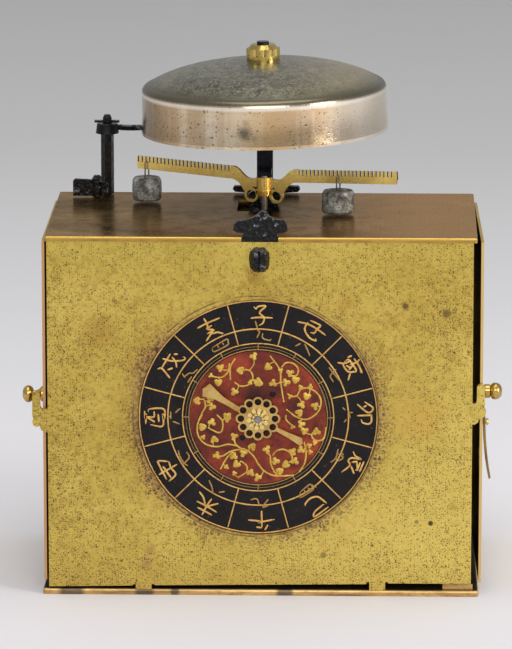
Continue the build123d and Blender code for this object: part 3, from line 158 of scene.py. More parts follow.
VINES = [
    [(-7.46, 19.59), (-9.03, 16.71), (-9.03, 12.79)],
    [(-7.72, 11.74), (-5.63, 10.44), (-3.02, 10.96), (-1.71, 13.31), (-2.5, 15.41), (-4.06, 15.93)],
    [(-9.29, 18.02), (-9.82, 15.14), (-11.91, 13.31), (-14.78, 13.57)],
    [(-17.66, 6.25), (-17.14, 3.64), (-18.18, 1.55), (-19.23, -0.75)],
    [(3.86, 20.63), (6.99, 15.93), (7.39, 11.48), (8.3, 5.47)],
    [(7.52, 16.71), (9.09, 18.28), (11.44, 18.02), (13.01, 16.19), (12.49, 14.1), (10.39, 14.1), (9.87, 15.14)],
    [(9.35, 8.08), (11.18, 7.04), (12.75, 7.56), (13.79, 9.39), (16.15, 9.91), (18.76, 8.61), (20.33, 6.25), (20.07, 3.12), (18.24, 0.76), (15.62, -0.55), (12.49, 0.24), (9.35, 2.59)],
    [(-18.18, 0.89), (-19.75, -2.51), (-19.49, -6.17), (-17.4, -8.79), (-13.74, -9.84), (-9.82, -9.05), (-6.94, -9.57), (-5.63, -10.36)],
    [(-13.48, 0.89), (-11.65, -1.21), (-11.65, -4.08), (-12.69, -5.13), (-14.78, -4.34), (-16.09, -3.56)],
    [(-5.63, -10.36), (-7.46, -8.79), (-7.72, -6.17)],
    [(-5.63, -10.36), (-3.8, -10.88), (-1.45, -12.97), (0.12, -15.85)],
    [(-5.63, -10.62), (-9.03, -11.4), (-11.65, -12.97), (-13.48, -12.71)],
    [(-8.25, -11.4), (-10.34, -13.76), (-12.17, -17.16)],
    [(-5.63, -14.54), (-3.8, -16.11), (-3.8, -18.2), (-6.42, -20.03)],
    [(9.09, 0.89), (9.09, -0.68), (10.92, -2.51)],
    [(22.16, -3.04), (21.64, -6.17), (20.59, -7.48), (18.5, -7.48), (17.45, -5.91), (18.24, -4.34)],
    [(14.97, -8), (15.62, -11.67), (15.1, -15.33), (13.53, -17.94)],
    [(2.55, -11.67), (3.86, -12.71), (4.12, -15.33), (5.16, -17.94), (6.47, -19.51)],
    [(4.64, -12.71), (5.95, -11.14), (8.3, -10.62), (10.39, -11.67), (11.18, -13.76), (10.39, -14.8)],
    [(-0.07, -15.33), (1.76, -17.68), (4.64, -19.25), (7.78, -19.51), (11.44, -19.25)],
]
LEAVES = [
    (-5.63, 15.67, 1.3), (-7.72, 8.61, 1.3), (-2.5, 11.74, 0.85), (-0.14, 12.01, 1.3),
    (-1.45, 20.37, 1.3), (-12.17, 16.45, 1.3), (-12.95, 11.74, 1.3), (-15.31, 13.84, 0.85),
    (-15.83, 5.99, 1.3), (-19.75, 5.47, 1.3), (-15.05, 3.64, 1.3), (-10.08, 0.5, 1.3),
    (3.33, 16.97, 1.3), (4.9, 11.48, 1.3), (9.09, 11.74, 1.3), (12.22, 12.79, 1.3),
    (10.39, 14.88, 1.3), (7.26, 15.67, 0.85), (0.2, 11.48, 1.3), (13.79, 10.18, 0.85),
    (16.93, 10.44, 0.85), (15.88, 7.3, 1.3), (14.05, 4.42, 1.3), (18.5, 3.9, 1.3),
    (13.27, 1.55, 1.3), (10.39, 7.04, 0.85), (-15.05, -1.73, 1.3), (-18.18, -3.3, 1.3),
    (-10.08, -0.42, 1.3), (-17.92, -6.7, 0.85), (-14.26, -7.61, 1.3), (-7.72, -6.44, 1.3),
    (-4.85, -11.93, 1.3), (-1.97, -9.84, 1.3), (-7.99, -12.97, 1.3), (-13.48, -12.71, 1.3),
    (-6.94, -15.59, 1.3), (-2.5, -18.46, 1.3), (-10.34, -16.63, 0.85), (-7.72, -18.73, 0.85),
    (-0.14, -20.03, 1.3), (14.05, -1.99, 1.3), (11.18, -3.04, 0.85), (19.02, -4.61, 1.3),
    (15.1, -4.34, 1.3), (18.5, -8.27, 0.85), (14.05, -10.62, 1.3), (16.67, -9.31, 0.85),
    (16.93, -11.4, 0.85), (2.81, -10.62, 1.3), (11.18, -11.4, 1.3), (9.09, -15.59, 1.3),
    (5.69, -14.54, 1.3), (11.96, -14.54, 1.3), (6.99, -17.94, 1.3),
]


# ---------------------------------------------------------------- node materials
def lin(rgb):
    out = []
    for c in rgb:
        c = c / 255
        out.append(c / 12.92 if c <= 0.04045 else ((c + 0.055) / 1.055) ** 2.4)
    return (*out, 1.0)


class Mat:
    """A Principled material with short calls for its nodes. Object coordinates are metres in the shared frame."""

    def __init__(self, name, metallic=1.0, roughness=0.4, **fixed):
        self.m = bpy.data.materials.new(name)
        self.m.use_nodes = True
        self.t = self.m.node_tree
        self.t.nodes.clear()
        out = self.t.nodes.new("ShaderNodeOutputMaterial")
        self.b = self.t.nodes.new("ShaderNodeBsdfPrincipled")
        self.t.links.new(self.b.outputs[0], out.inputs[0])
        self.b.inputs["Metallic"].default_value = metallic
        self.b.inputs["Roughness"].default_value = roughness
        for key, value in fixed.items():
            self.b.inputs[key.replace("_", " ")].default_value = value
        self.co = self.t.nodes.new("ShaderNodeTexCoord").outputs["Object"]
        self.sep = self.t.nodes.new("ShaderNodeSeparateXYZ")
        self.t.links.new(self.co, self.sep.inputs[0])
        self.x, self.y, self.z = self.sep.outputs

    def put(self, socket, value):
        if isinstance(value, bpy.types.NodeSocket):
            self.t.links.new(value, socket)
        else:
            socket.default_value = value

    def math(self, op, a, b=0.0, clamp=False):
        n = self.t.nodes.new("ShaderNodeMath")
        n.operation, n.use_clamp = op, clamp
        self.put(n.inputs[0], a)
        self.put(n.inputs[1], b)
        return n.outputs[0]

    def stretch(self, sx=1.0, sy=1.0, sz=1.0, at=(0, 0, 0)):
        n = self.t.nodes.new("ShaderNodeMapping")
        n.inputs["Scale"].default_value = (sx, sy, sz)
        n.inputs["Location"].default_value = at
        self.t.links.new(self.co, n.inputs[0])
        return n.outputs[0]

    def noise(self, size_mm, detail=4.0, rough=0.55, warp=0.0, vec=None):
        n = self.t.nodes.new("ShaderNodeTexNoise")
        self.t.links.new(vec if vec is not None else self.co, n.inputs["Vector"])
        n.inputs["Scale"].default_value = 1000 / size_mm
        n.inputs["Detail"].default_value = detail
        n.inputs["Roughness"].default_value = rough
        n.inputs["Distortion"].default_value = warp
        return n.outputs[0]

    def cells(self, size_mm, vec=None, jitter=1.0):
        n = self.t.nodes.new("ShaderNodeTexVoronoi")
        self.t.links.new(vec if vec is not None else self.co, n.inputs["Vector"])
        n.inputs["Scale"].default_value = 1000 / size_mm
        n.inputs["Randomness"].default_value = jitter
        return n

    def fit(self, v, a, b, c=0.0, d=1.0, smooth=False):
        n = self.t.nodes.new("ShaderNodeMapRange")
        n.clamp = True
        if smooth:
            n.interpolation_type = "SMOOTHSTEP"
        self.put(n.inputs["Value"], v)
        for key, value in zip(("From Min", "From Max", "To Min", "To Max"), (a, b, c, d)):
            self.put(n.inputs[key], value)
        return n.outputs[0]

    def ramp(self, fac, *stops):
        n = self.t.nodes.new("ShaderNodeValToRGB")
        self.t.links.new(fac, n.inputs[0])
        e = n.color_ramp.elements
        while len(e) < len(stops):
            e.new(0.5)
        for el, (pos, rgb) in zip(e, stops):
            el.position, el.color = pos, lin(rgb)
        return n.outputs[0]

    def mix(self, fac, a, b, how="MIX"):
        n = self.t.nodes.new("ShaderNodeMix")
        n.data_type, n.blend_type = "RGBA", how
        self.put(n.inputs[0], fac)
        self.put(n.inputs[6], a)
        self.put(n.inputs[7], b)
        return n.outputs[2]

    def plane(self, which):
        """Coordinates laid flat in one plane, for marks that lie on a sheet's face."""
        n = self.t.nodes.new("ShaderNodeCombineXYZ")
        a, b = {"xz": (self.x, self.z), "yz": (self.y, self.z), "xy": (self.x, self.y)}[which]
        self.t.links.new(a, n.inputs[0])
        self.t.links.new(b, n.inputs[1])
        return n.outputs[0]

    def facing(self):
        """The surface normal in the piece's own frame, as x, y and z."""
        co = self.t.nodes.new("ShaderNodeTexCoord").outputs["Normal"]
        n = self.t.nodes.new("ShaderNodeSeparateXYZ")
        self.t.links.new(co, n.inputs[0])
        return n.outputs

    def both(self, a, b):
        return self.math("MULTIPLY", a, b)

    def either(self, a, b):
        return self.math("MAXIMUM", a, b)

    def near(self, point_mm, r0, r1, wobble=None):
        """1 within r0 mm of a point, and 0 beyond r1 mm. wobble, a value from 0 to 1, moves the edge by up to 1.5 mm."""
        n = self.t.nodes.new("ShaderNodeVectorMath")
        n.operation = "DISTANCE"
        self.t.links.new(self.co, n.inputs[0])
        n.inputs[1].default_value = [c * MM for c in point_mm]
        d = n.outputs["Value"]
        if wobble is not None:
            d = self.math("ADD", d, self.math("MULTIPLY", wobble, 0.0015))
        return self.fit(d, r0 * MM, r1 * MM, 1.0, 0.0)

    def axis_r(self, cx, cz):
        """Distance in metres from the line along Y at (cx, cz) mm."""
        a = self.math("SUBTRACT", self.x, cx * MM)
        b = self.math("SUBTRACT", self.z, cz * MM)
        s = self.math("ADD", self.both(a, a), self.both(b, b))
        return self.math("SQRT", s)

    def colour(self, v):
        self.put(self.b.inputs["Base Color"], v)

    def rough(self, v):
        self.put(self.b.inputs["Roughness"], v)

    def metal(self, v):
        self.put(self.b.inputs["Metallic"], v)

    def bump(self, height, depth_mm, strength=1.0):
        n = self.t.nodes.new("ShaderNodeBump")
        n.inputs["Strength"].default_value = strength
        n.inputs["Distance"].default_value = depth_mm * MM
        self.put(n.inputs["Height"], height)
        self.t.links.new(n.outputs[0], self.b.inputs["Normal"])


def pits(m, size_mm, fill, flat="xz", big=0.36, at=0.0):
    """Small round pits: cells whose random value is under fill get a dot whose size also varies."""
    v = m.t.nodes.new("ShaderNodeTexVoronoi")
    if flat:
        v.voronoi_dimensions = "2D"
        shift = m.t.nodes.new("ShaderNodeVectorMath")
        shift.operation = "ADD"
        m.t.links.new(m.plane(flat), shift.inputs[0])
        shift.inputs[1].default_value = (at, at * 0.7, 0)
        m.t.links.new(shift.outputs[0], v.inputs["Vector"])
    else:
        m.t.links.new(m.co, v.inputs["Vector"])
    v.inputs["Scale"].default_value = 1000 / size_mm
    pick = m.t.nodes.new("ShaderNodeSeparateColor")
    m.t.links.new(v.outputs["Color"], pick.inputs[0])
    chosen = m.math("LESS_THAN", pick.outputs[0], fill)
    radius = m.fit(pick.outputs[1], 0, 1, 0.14, big)
    dot = m.fit(v.outputs["Distance"], radius, m.math("MULTIPLY", radius, 0.55), 0, 1)
    depth = m.fit(pick.outputs[2], 0, 0.8, 0.55, 1.0)
    return m.both(m.both(chosen, dot), depth)


def plate_brass(name, flat="xz", front=False, inner=None, rim=None):
    """Old sheet brass: a yellow face with olive cloud, brown specks and pits. The front has its own wear and plugs.
    inner is the direction that the inner face looks in, as (axis, sign); that face is painted nearly black as painted
    shade inside the case. rim is the tone of the sheet's front edge."""
    m = Mat(name, metallic=0.82, roughness=0.42, Specular_IOR_Level=0.4)
    big = m.noise(38, 5, 0.6)
    mid = m.noise(9, 6, 0.65, 0.3)
    fine = m.noise(1.5, 4, 0.65)
    base = m.ramp(big, (0.3, (188, 160, 70)), (0.5, (204, 176, 84)), (0.72, (218, 192, 98)))
    base = m.mix(m.fit(mid, 0.48, 0.68, 0, 0.5), base, lin((168, 138, 56)))
    base = m.mix(m.fit(fine, 0.46, 0.68, 0, 0.6), base, lin((146, 114, 44)))
    grain = m.noise(0.9, 3, 0.7, 0)
    base = m.mix(m.fit(grain, 0.54, 0.72, 0, 0.3), base, lin((240, 216, 128)))
    scatter = m.fit(m.noise(16, 4, 0.6), 0.4, 0.64, 0.1, 0.7)
    if front:
        # heavier pitting down the left side, along the bottom and up the right side
        left_low = m.both(m.fit(m.x, -0.052, -0.064, 0, 0.75), m.fit(m.z, 0.115, 0.05, 0.35, 1.0))
        bottom = m.both(m.fit(m.z, 0.024, 0.010, 0, 0.6), m.fit(m.math("ABSOLUTE", m.x), 0.0, 0.05, 0.5, 1.0))
        left_low = m.either(left_low, bottom)
        right = m.fit(m.x, 0.045, 0.062, 0, 0.45)
        scatter = m.math("ADD", scatter, m.math("ADD", left_low, right), clamp=True)
    specks = m.either(pits(m, 1.0, m.both(scatter, 0.6), flat, 0.34), pits(m, 0.66, m.both(scatter, 0.75), flat, 0.46, 0.031))
    specks = m.either(specks, pits(m, 2.3, m.both(scatter, 0.12), flat, 0.2, 0.057))
    broad = m.math("ABSOLUTE", m.facing()[{"xz": 1, "yz": 0, "xy": 2}[flat]])
    dark = m.both(m.both(specks, m.fit(fine, 0.2, 0.6, 0.5, 1.0)), m.fit(broad, 0.5, 0.8, 0, 1))
    if front:
        r = m.axis_r(-0.8, 59.6)
        wob = m.math("SUBTRACT", m.noise(12, 5, 0.7), 0.5)
        rr = m.math("ADD", r, m.math("MULTIPLY", wob, 0.013))
        # the band round the dial is worn most to the upper left, right and lower left
        patch = m.fit(m.noise(24, 2, 0.5), 0.4, 0.56, 0.45, 1.0)
        # clean above the dial's top, heaviest at its left, lower left and right
        away = m.fit(m.math("ADD", m.z, m.math("MULTIPLY", m.math("ABSOLUTE", m.x), -0.9)), 0.078, 0.055, 0.15, 1.0)
        side = m.both(patch, away)
        worn = m.fit(rr, 0.0395, 0.0432, 1.0, 0.0, True)
        halo = m.both(m.fit(rr, 0.0405, 0.0500, 1.0, 0.0, True), side)
        base = m.mix(m.both(halo, 0.22), base, lin((176, 132, 66)))
        base = m.mix(m.both(m.both(worn, side), 0.55), base, lin((168, 124, 88)))
        crust = m.either(pits(m, 1.5, 0.9, flat, 0.5, 0.013), pits(m, 1.0, 0.8, flat, 0.5, 0.041))
        crust = m.either(crust, m.both(pits(m, 2.1, 0.9, flat, 0.55, 0.077), m.fit(rr, 0.0404, 0.0430, 1.0, 0.0)))
        near = m.fit(rr, 0.0412, 0.0466, 1.0, 0.0, True)
        dark = m.either(dark, m.both(m.both(crust, m.both(near, side)), m.fit(m.noise(4, 4, 0.7), 0.32, 0.5, 0.35, 1)))
        rim_dark = m.fit(m.math("ADD", r, m.math("MULTIPLY", wob, 0.003)), 0.0393, 0.0401, 1.0, 0.0)
        dark = m.either(dark, m.both(rim_dark, m.fit(m.noise(3, 4, 0.7), 0.42, 0.6, 0.1, 0.9)))
        # a thin scribed circle, a little off the dial's centre, shows outside the ring at its upper left
        scribed = m.math("ABSOLUTE", m.math("SUBTRACT", m.math("ADD", m.axis_r(-1.4, 59.9), m.math("MULTIPLY", wob, 0.0008)), 0.0401))
        dark = m.either(dark, m.both(m.fit(scribed, 0.00012, 0.00036, 0.75, 0), m.fit(m.noise(6, 3, 0.6), 0.38, 0.52, 0.2, 1)))
        base = m.mix(m.fit(m.z, 0.104, 0.117, 0, 0.3), base, lin((196, 178, 84)))
        # painted light: the plate is painted lighter towards the right and the bottom, where the light falls from the
        # right
        base = m.mix(m.fit(m.math("ADD", m.math("MULTIPLY", m.x, 0.5), m.math("MULTIPLY", m.z, -1.0)), -0.07, 0.02, 0, 0.5), base, lin((238, 212, 112)))
        low = m.both(m.fit(m.z, 0.012, 0.004, 0, 1), m.fit(m.noise(7, 5, 0.6), 0.3, 0.65, 0.1, 0.8))
        base = m.mix(m.both(low, 0.35), base, lin((160, 120, 56)))
        edge_wob = m.noise(2.2, 3, 0.6)
        for x, z, r0, r1, tone in (
            (46.9, 96.9, 1.0, 2.6, (126, 92, 40)), (60.2, 94.6, 0.9, 2.4, (118, 84, 40)),
            (-2, 106.8, 2.2, 4.4, (156, 118, 52)), (8, 22.5, 1.5, 4.5, (150, 112, 48)),
            (18.5, 24.0, 0.4, 2.2, (140, 100, 46)), (-37.5, 10.5, 0.8, 3.6, (168, 116, 84)),
            (-36.0, 14.5, 0.8, 3.0, (172, 124, 84)), (-52, 88, 2.0, 8.0, (172, 134, 60)),
            (52, 60, 3.0, 11.0, (206, 166, 78)), (63, 30, 0.8, 2.6, (160, 118, 56)),
            (28, 98, 1.0, 5.0, (178, 140, 62)), (-62.5, 113.2, 0.6, 1.6, (120, 84, 36)),
            (20, 17, 0.4, 2.2, (176, 124, 78)), (8, 12.5, 0.4, 2.0, (110, 90, 52)),
        ):
            mask = m.near((x, -39.7, z), r0, r1, edge_wob)
            base = m.mix(m.both(mask, 0.55), base, lin(tone))
        small = m.math("MULTIPLY", edge_wob, 0.3)
        for x, z, r0, deep in ((46.9, 96.9, 1.3, 0.7), (60.2, 94.6, 1.7, 0.6), (55.5, 24.6, 1.15, 1.0), (50.9, 25.1, 0.95, 0.6), (60.8, 21.9, 0.9, 0.5),
                               (44.5, 22.2, 0.6, 0.7), (20.5, 13.6, 1.3, 0.6), (-34, 104, 0.5, 0.8), (-61, 76, 0.6, 0.8), (32, 106, 0.5, 0.8),
                               (-27, 21, 0.6, 0.8), (63, 71, 0.6, 0.8), (36.5, 17.0, 0.7, 0.9), (62.8, 15.5, 0.5, 0.9)):
            dark = m.either(dark, m.both(m.near((x, -39.7, z), r0 * 0.75, r0 * 1.1, small), deep))
    colour = m.mix(m.both(dark, 0.94), base, lin((56, 34, 18)))
    if rim:
        colour = m.mix(m.both(m.fit(m.facing()[1], -0.5, -0.8, 0, 1), m.fit(mid, 0.3, 0.5, 0.65, 1)), colour, lin(rim))
    if inner:
        n = m.facing()[inner[0]]
        # painted shade: the face that looks into the case is painted nearly black
        painted_inner_shade = m.fit(m.math("MULTIPLY", n, inner[1]), 0.3, 0.7, 0, 1)
        colour = m.mix(m.both(painted_inner_shade, 0.93), colour, lin((26, 18, 12)))
    m.colour(colour)
    m.metal(m.fit(dark, 0, 1, 0.82, 0.2))
    m.rough(m.math("ADD", m.fit(mid, 0.3, 0.7, 0.36, 0.5), m.both(dark, 0.3)))
    m.bump(m.math("SUBTRACT", m.both(fine, 0.35), dark), 0.07, 0.7)
    return m.m


def base_brass():
    """The base plate: unpolished, brown along its edge with pale and dark patches, with a painted highlight along the
    top of its front edge and painted shade that makes it nearly black inside the case.
    """
    m = Mat("base_brass", metallic=0.75, roughness=0.45)
    a = m.noise(11, 5, 0.6, 0.4, m.stretch(0.5, 1, 3))
    b = m.noise(2.4, 5, 0.65)
    base = m.ramp(a, (0.32, (130, 98, 60)), (0.46, (186, 146, 88)), (0.6, (218, 180, 114)), (0.75, (236, 204, 142)))
    base = m.mix(m.fit(b, 0.52, 0.7, 0, 0.5), base, lin((116, 82, 48)))
    # painted highlight: a pale line along the top of the front edge
    base = m.mix(m.both(m.fit(m.z, 0.0012, 0.0018, 0, 0.6), m.fit(m.y, -0.0388, -0.0392, 0, 1)), base, lin((246, 216, 150)))
    for x, r in ((-38, 4.5), (-28, 2.6), (8, 4.0), (-62, 5.5)):
        base = m.mix(m.both(m.near((x, -40, 1.0), r * 0.7, r, b), 0.8), base, lin((72, 64, 58)))
    # painted shade: faces that look up, behind the front plate, are painted nearly black
    up = m.fit(m.facing()[2], 0.6, 0.95, 0, 1)
    inside = m.both(up, m.fit(m.y, -0.0393, -0.0386, 0, 1))
    base = m.mix(m.both(inside, 0.94), base, lin((22, 16, 12)))
    m.colour(base)
    m.rough(m.math("ADD", m.fit(b, 0.3, 0.7, 0.32, 0.5), m.both(inside, 0.3)))
    m.bump(b, 0.06, 0.6)
    return m.m


def top_brass():
    """The top plate: smooth brown patina over brass, yellow along its front edge, with a small dark scratch and ring marks."""
    m = Mat("top_brass", metallic=0.97, roughness=0.24, Specular_IOR_Level=0.3)
    big = m.noise(34, 5, 0.6, 0.8, m.stretch(1, 1.6, 1))
    mid = m.noise(7, 5, 0.65)
    fine = m.noise(1.2, 4, 0.6)
    base = m.ramp(big, (0.3, (96, 76, 50)), (0.46, (134, 108, 72)), (0.6, (168, 138, 94)), (0.75, (196, 166, 118)))
    base = m.mix(m.fit(mid, 0.5, 0.7, 0, 0.5), base, lin((84, 64, 42)))
    base = m.mix(m.fit(fine, 0.54, 0.72, 0, 0.35), base, lin((72, 54, 36)))
    # darker under the bell, as a painted reflection of the bell's dark underside; warmer to the right
    base = m.mix(m.near((-4, 14, 119.4), 16, 46, mid), base, lin((84, 66, 46)))
    base = m.mix(m.fit(m.x, 0.008, 0.05, 0, 0.72), base, lin((222, 176, 116)))
    specks = m.either(pits(m, 1.6, 0.22, "xy", 0.24), pits(m, 0.8, 0.2, "xy", 0.3, 0.02))
    base = m.mix(m.both(specks, 0.6), base, lin((62, 42, 26)))
    # rings where weights and tools have stood
    for x, y, r in ((-26, -24, 3.0), (26, -14, 3.4), (47, 4, 2.6)):
        rr = m.math("SQRT", m.math("ADD", m.math("POWER", m.math("SUBTRACT", m.x, x * MM), 2.0), m.math("POWER", m.math("SUBTRACT", m.y, y * MM), 2.0)))
        rr = m.math("ADD", rr, m.math("MULTIPLY", m.math("SUBTRACT", mid, 0.5), 0.002))
        ring = m.both(m.fit(rr, (r - 0.5) * MM, r * MM, 0, 1), m.fit(rr, r * MM, (r + 0.5) * MM, 1, 0))
        base = m.mix(m.both(ring, 0.4), base, lin((74, 52, 34)))
    scratch = m.both(m.near((-58.5, -12, 119.4), 1.5, 3.4, mid), m.fit(m.math("ABSOLUTE", m.math("ADD", m.y, 0.012)), 0.0011, 0.0004, 0, 1))
    base = m.mix(m.both(scratch, 0.85), base, lin((34, 24, 18)))
    front = m.fit(m.facing()[1], -0.3, -0.75, 0, 1)
    lip = m.mix(m.fit(m.z, 0.1186, 0.1188, 0, 1), lin((120, 84, 38)), lin((226, 190, 96)))
    base = m.mix(m.both(front, 0.95), base, lip)
    base = m.mix(m.both(m.fit(m.y, -0.0384, -0.0394, 0, 0.75), m.fit(mid, 0.3, 0.6, 0.5, 1)), base, lin((206, 166, 84)))
    m.colour(base)
    m.b.inputs["Specular Tint"].default_value = lin((236, 218, 196))
    m.rough(m.math("ADD", m.fit(mid, 0.3, 0.7, 0.17, 0.33), m.both(front, 0.12)))
    m.bump(m.math("SUBTRACT", m.both(mid, 0.5), specks), 0.04, 0.45)
    return m.m


def polished_brass(name, tone, tarnish, rough=(0.16, 0.34), grime=0.5):
    """Turned or filed brass: bright, with fine marks, and brown grime in its low places."""
    m = Mat(name, metallic=1.0, roughness=0.25)
    cloud = m.noise(5, 5, 0.6)
    fine = m.noise(0.7, 4, 0.65)
    base = m.mix(m.fit(cloud, 0.4, 0.7, 0, 0.6), lin(tone), lin(tarnish))
    base = m.mix(m.fit(fine, 0.55, 0.8, 0, grime), base, lin([c * 0.45 for c in tarnish]))
    m.colour(base)
    m.rough(m.fit(fine, 0.3, 0.7, *rough))
    m.bump(fine, 0.03, 0.35)
    return m.m


def bell_bronze():
    """The bell: a grey mottled dome, and a warm side that is polished and faintly streaked downwards. Light and shade
    are painted in: the side darker on the left and near white on the right, the dome lighter to the right, and a white
    line along the shoulder.
    """
    m = Mat("bell_bronze", metallic=0.96, roughness=0.2)
    tilt = m.math("SUBTRACT", m.z, m.math("MULTIPLY", m.x, 0.0244))
    dome = m.fit(tilt, 0.1590, 0.1604, 0, 1)
    dy = m.math("SUBTRACT", m.y, 0.018)
    r2 = m.math("SQRT", m.math("ADD", m.both(m.x, m.x), m.both(dy, dy)))
    big = m.noise(16, 5, 0.6, 0.4)
    mid = m.noise(3.4, 6, 0.7)
    fine = m.noise(0.8, 4, 0.65)
    side = m.ramp(big, (0.3, (212, 188, 148)), (0.52, (228, 206, 170)), (0.75, (244, 228, 200)))
    streak = m.noise(15, 3, 0.6, 0, m.stretch(1, 1, 0.05))
    side = m.mix(m.fit(streak, 0.46, 0.54, 0, 0.7), side, lin((190, 158, 116)))
    streak2 = m.noise(5, 3, 0.6, 0, m.stretch(1, 1, 0.08))
    side = m.mix(m.fit(streak2, 0.54, 0.68, 0, 0.4), side, lin((240, 226, 200)))
    turn = m.noise(1.1, 3, 0.6, 0, m.stretch(0.05, 0.05, 1.0))
    side = m.mix(m.fit(turn, 0.5, 0.7, 0, 0.25), side, lin((176, 144, 112)))
    spots = m.either(pits(m, 1.5, 0.5, None, 0.36), pits(m, 0.9, 0.5, None, 0.42))
    side = m.mix(m.both(spots, 0.85), side, lin((92, 70, 58)))
    # painted shade: the left of the side is painted darker, away from the light
    left = m.fit(m.x, -0.028, -0.038, 0, 0.62)
    side = m.mix(left, side, lin((118, 94, 72)))
    # painted light: the right of the side is painted near white, where the light falls
    side = m.mix(m.fit(m.x, 0.018, 0.032, 0, 0.6), side, lin((255, 248, 234)))
    side = m.mix(m.both(m.fit(m.x, -0.010, -0.002, 0, 1), m.fit(m.x, 0.011, 0.004, 0, 0.55)), side, lin((200, 166, 116)))
    top = m.ramp(big, (0.3, (112, 110, 94)), (0.5, (142, 139, 118)), (0.72, (176, 170, 142)))
    top = m.mix(m.fit(mid, 0.45, 0.62, 0, 0.85), top, lin((78, 76, 66)))
    top = m.mix(m.fit(fine, 0.5, 0.62, 0, 0.7), top, lin((214, 208, 184)))
    top = m.mix(m.fit(m.noise(1.6, 5, 0.75), 0.52, 0.62, 0, 0.6), top, lin((74, 76, 70)))
    top = m.mix(m.both(m.either(pits(m, 1.5, 0.5, "xy", 0.3), pits(m, 0.8, 0.5, "xy", 0.36, 0.03)), 0.6), top, lin((66, 58, 48)))
    # painted light: the dome is painted lighter towards the right, where the light falls
    warm = m.fit(m.x, 0.003, 0.030, 0, 0.55)
    top = m.mix(warm, top, lin((204, 186, 150)))
    edge = m.fit(r2, 0.0372, 0.0392, 0, 1)
    top = m.mix(m.both(edge, 0.85), top, lin((116, 110, 90)))
    colour = m.mix(dome, side, top)
    # painted highlight: a near-white line along the shoulder; the band just above it is painted darker, in the dome's
    # grey, to keep the shining band narrow
    shoulder = m.both(m.fit(tilt, 0.1572, 0.1580, 0, 1), m.fit(tilt, 0.1594, 0.1586, 0, 1))
    colour = m.mix(m.both(m.fit(tilt, 0.1586, 0.1594, 0, 1), m.fit(tilt, 0.1634, 0.1606, 0, 0.85)), colour, lin((104, 98, 80)))
    colour = m.mix(m.both(shoulder, 0.7), colour, lin((255, 246, 228)))
    wob = m.noise(2.5, 4, 0.6)
    mark = m.near((-5.6, -21.6, 150.3), 1.9, 3.9, wob)
    mark = m.either(mark, m.both(m.near((-5.2, -21.6, 153.4), 0.8, 2.6, wob), 0.7))
    mark = m.either(mark, m.both(m.near((-2.6, -21.8, 148.6), 0.8, 2.8, wob), 0.7))
    colour = m.mix(m.both(mark, 0.75), colour, lin((70, 74, 64)))
    m.colour(colour)
    polish = m.math("ADD", m.fit(fine, 0.3, 0.7, 0.08, 0.16), m.fit(big, 0.3, 0.7, 0.02, 0.1))
    m.rough(m.math("ADD", polish, m.both(m.both(dome, 0.13), m.fit(shoulder, 0, 1, 1, 0.2))))
    rough_top = m.both(m.math("ADD", mid, fine), m.fit(dome, 0, 1, 0.25, 1.0))
    m.bump(m.math("SUBTRACT", rough_top, m.both(spots, 0.5)), 0.06, 0.4)
    return m.m


def iron(name, tone=(22, 22, 25), rust=0.25, rough=(0.24, 0.46), lump=0.12):
    """Forged or filed iron, oiled black, with a little brown rust in its hollows and a painted highlight on faces that
    look up.
    """
    m = Mat(name, metallic=0.85, roughness=0.45)
    a = m.noise(3.2, 5, 0.6)
    b = m.noise(0.8, 4, 0.65)
    base = m.mix(m.fit(a, 0.35, 0.7, 0, 0.7), lin(tone), lin([min(255, c * 1.9) for c in tone]))
    base = m.mix(m.fit(b, 0.56, 0.75, 0, rust), base, lin((96, 60, 38)))
    # painted highlight: faces that look up are painted lighter, where the light falls from above
    base = m.mix(m.both(m.fit(m.facing()[2], 0.25, 0.9, 0, 0.5), m.fit(a, 0.35, 0.6, 0.3, 1)), base, lin([min(255, c * 3.2 + 20) for c in tone]))
    m.colour(base)
    m.rough(m.fit(b, 0.3, 0.7, *rough))
    facets = m.t.nodes.new("ShaderNodeTexVoronoi")
    facets.feature = "SMOOTH_F1"
    facets.inputs["Scale"].default_value = 1000 / 1.6
    m.t.links.new(m.co, facets.inputs["Vector"])
    m.bump(m.math("ADD", m.math("ADD", a, m.both(b, 0.5)), facets.outputs["Distance"]), lump, 0.8)
    return m.m


def black_iron(name, lump=0.5, size=1.5, glint=0.07):
    """Iron under a hard black skin: nearly black, with a few random bright metal facets, and faces that look up painted
    light grey metal as a painted highlight.
    """
    m = Mat(name, metallic=0.0, roughness=0.3, Specular_IOR_Level=0.22)
    a = m.noise(2.2, 5, 0.65)
    b = m.noise(0.7, 4, 0.65)
    base = m.mix(m.fit(a, 0.35, 0.7, 0, 0.7), lin((8, 7, 8)), lin((22, 20, 19)))
    base = m.mix(m.fit(b, 0.58, 0.74, 0, 0.3), base, lin((58, 44, 34)))
    facets = m.t.nodes.new("ShaderNodeTexVoronoi")
    facets.inputs["Scale"].default_value = 1000 / size
    m.t.links.new(m.co, facets.inputs["Vector"])
    pick = m.t.nodes.new("ShaderNodeSeparateColor")
    m.t.links.new(facets.outputs["Color"], pick.inputs[0])
    bare_facets_and_top_highlight = m.both(m.math("LESS_THAN", pick.outputs[0], glint), m.fit(b, 0.46, 0.58, 0, 1))
    # painted highlight: faces that look up are painted light grey metal
    up = m.both(m.fit(m.facing()[2], 0.35, 0.9, 0, 0.7), m.fit(a, 0.42, 0.56, 0, 1))
    bare_facets_and_top_highlight = m.either(bare_facets_and_top_highlight, up)
    base = m.mix(m.both(bare_facets_and_top_highlight, 0.8), base, lin((140, 142, 146)))
    m.colour(base)
    m.metal(m.both(bare_facets_and_top_highlight, 0.9))
    m.rough(m.fit(b, 0.3, 0.7, 0.2, 0.42))
    m.bump(m.math("ADD", m.math("ADD", a, m.both(b, 0.4)), facets.outputs["Distance"]), lump, 0.8)
    return m.m


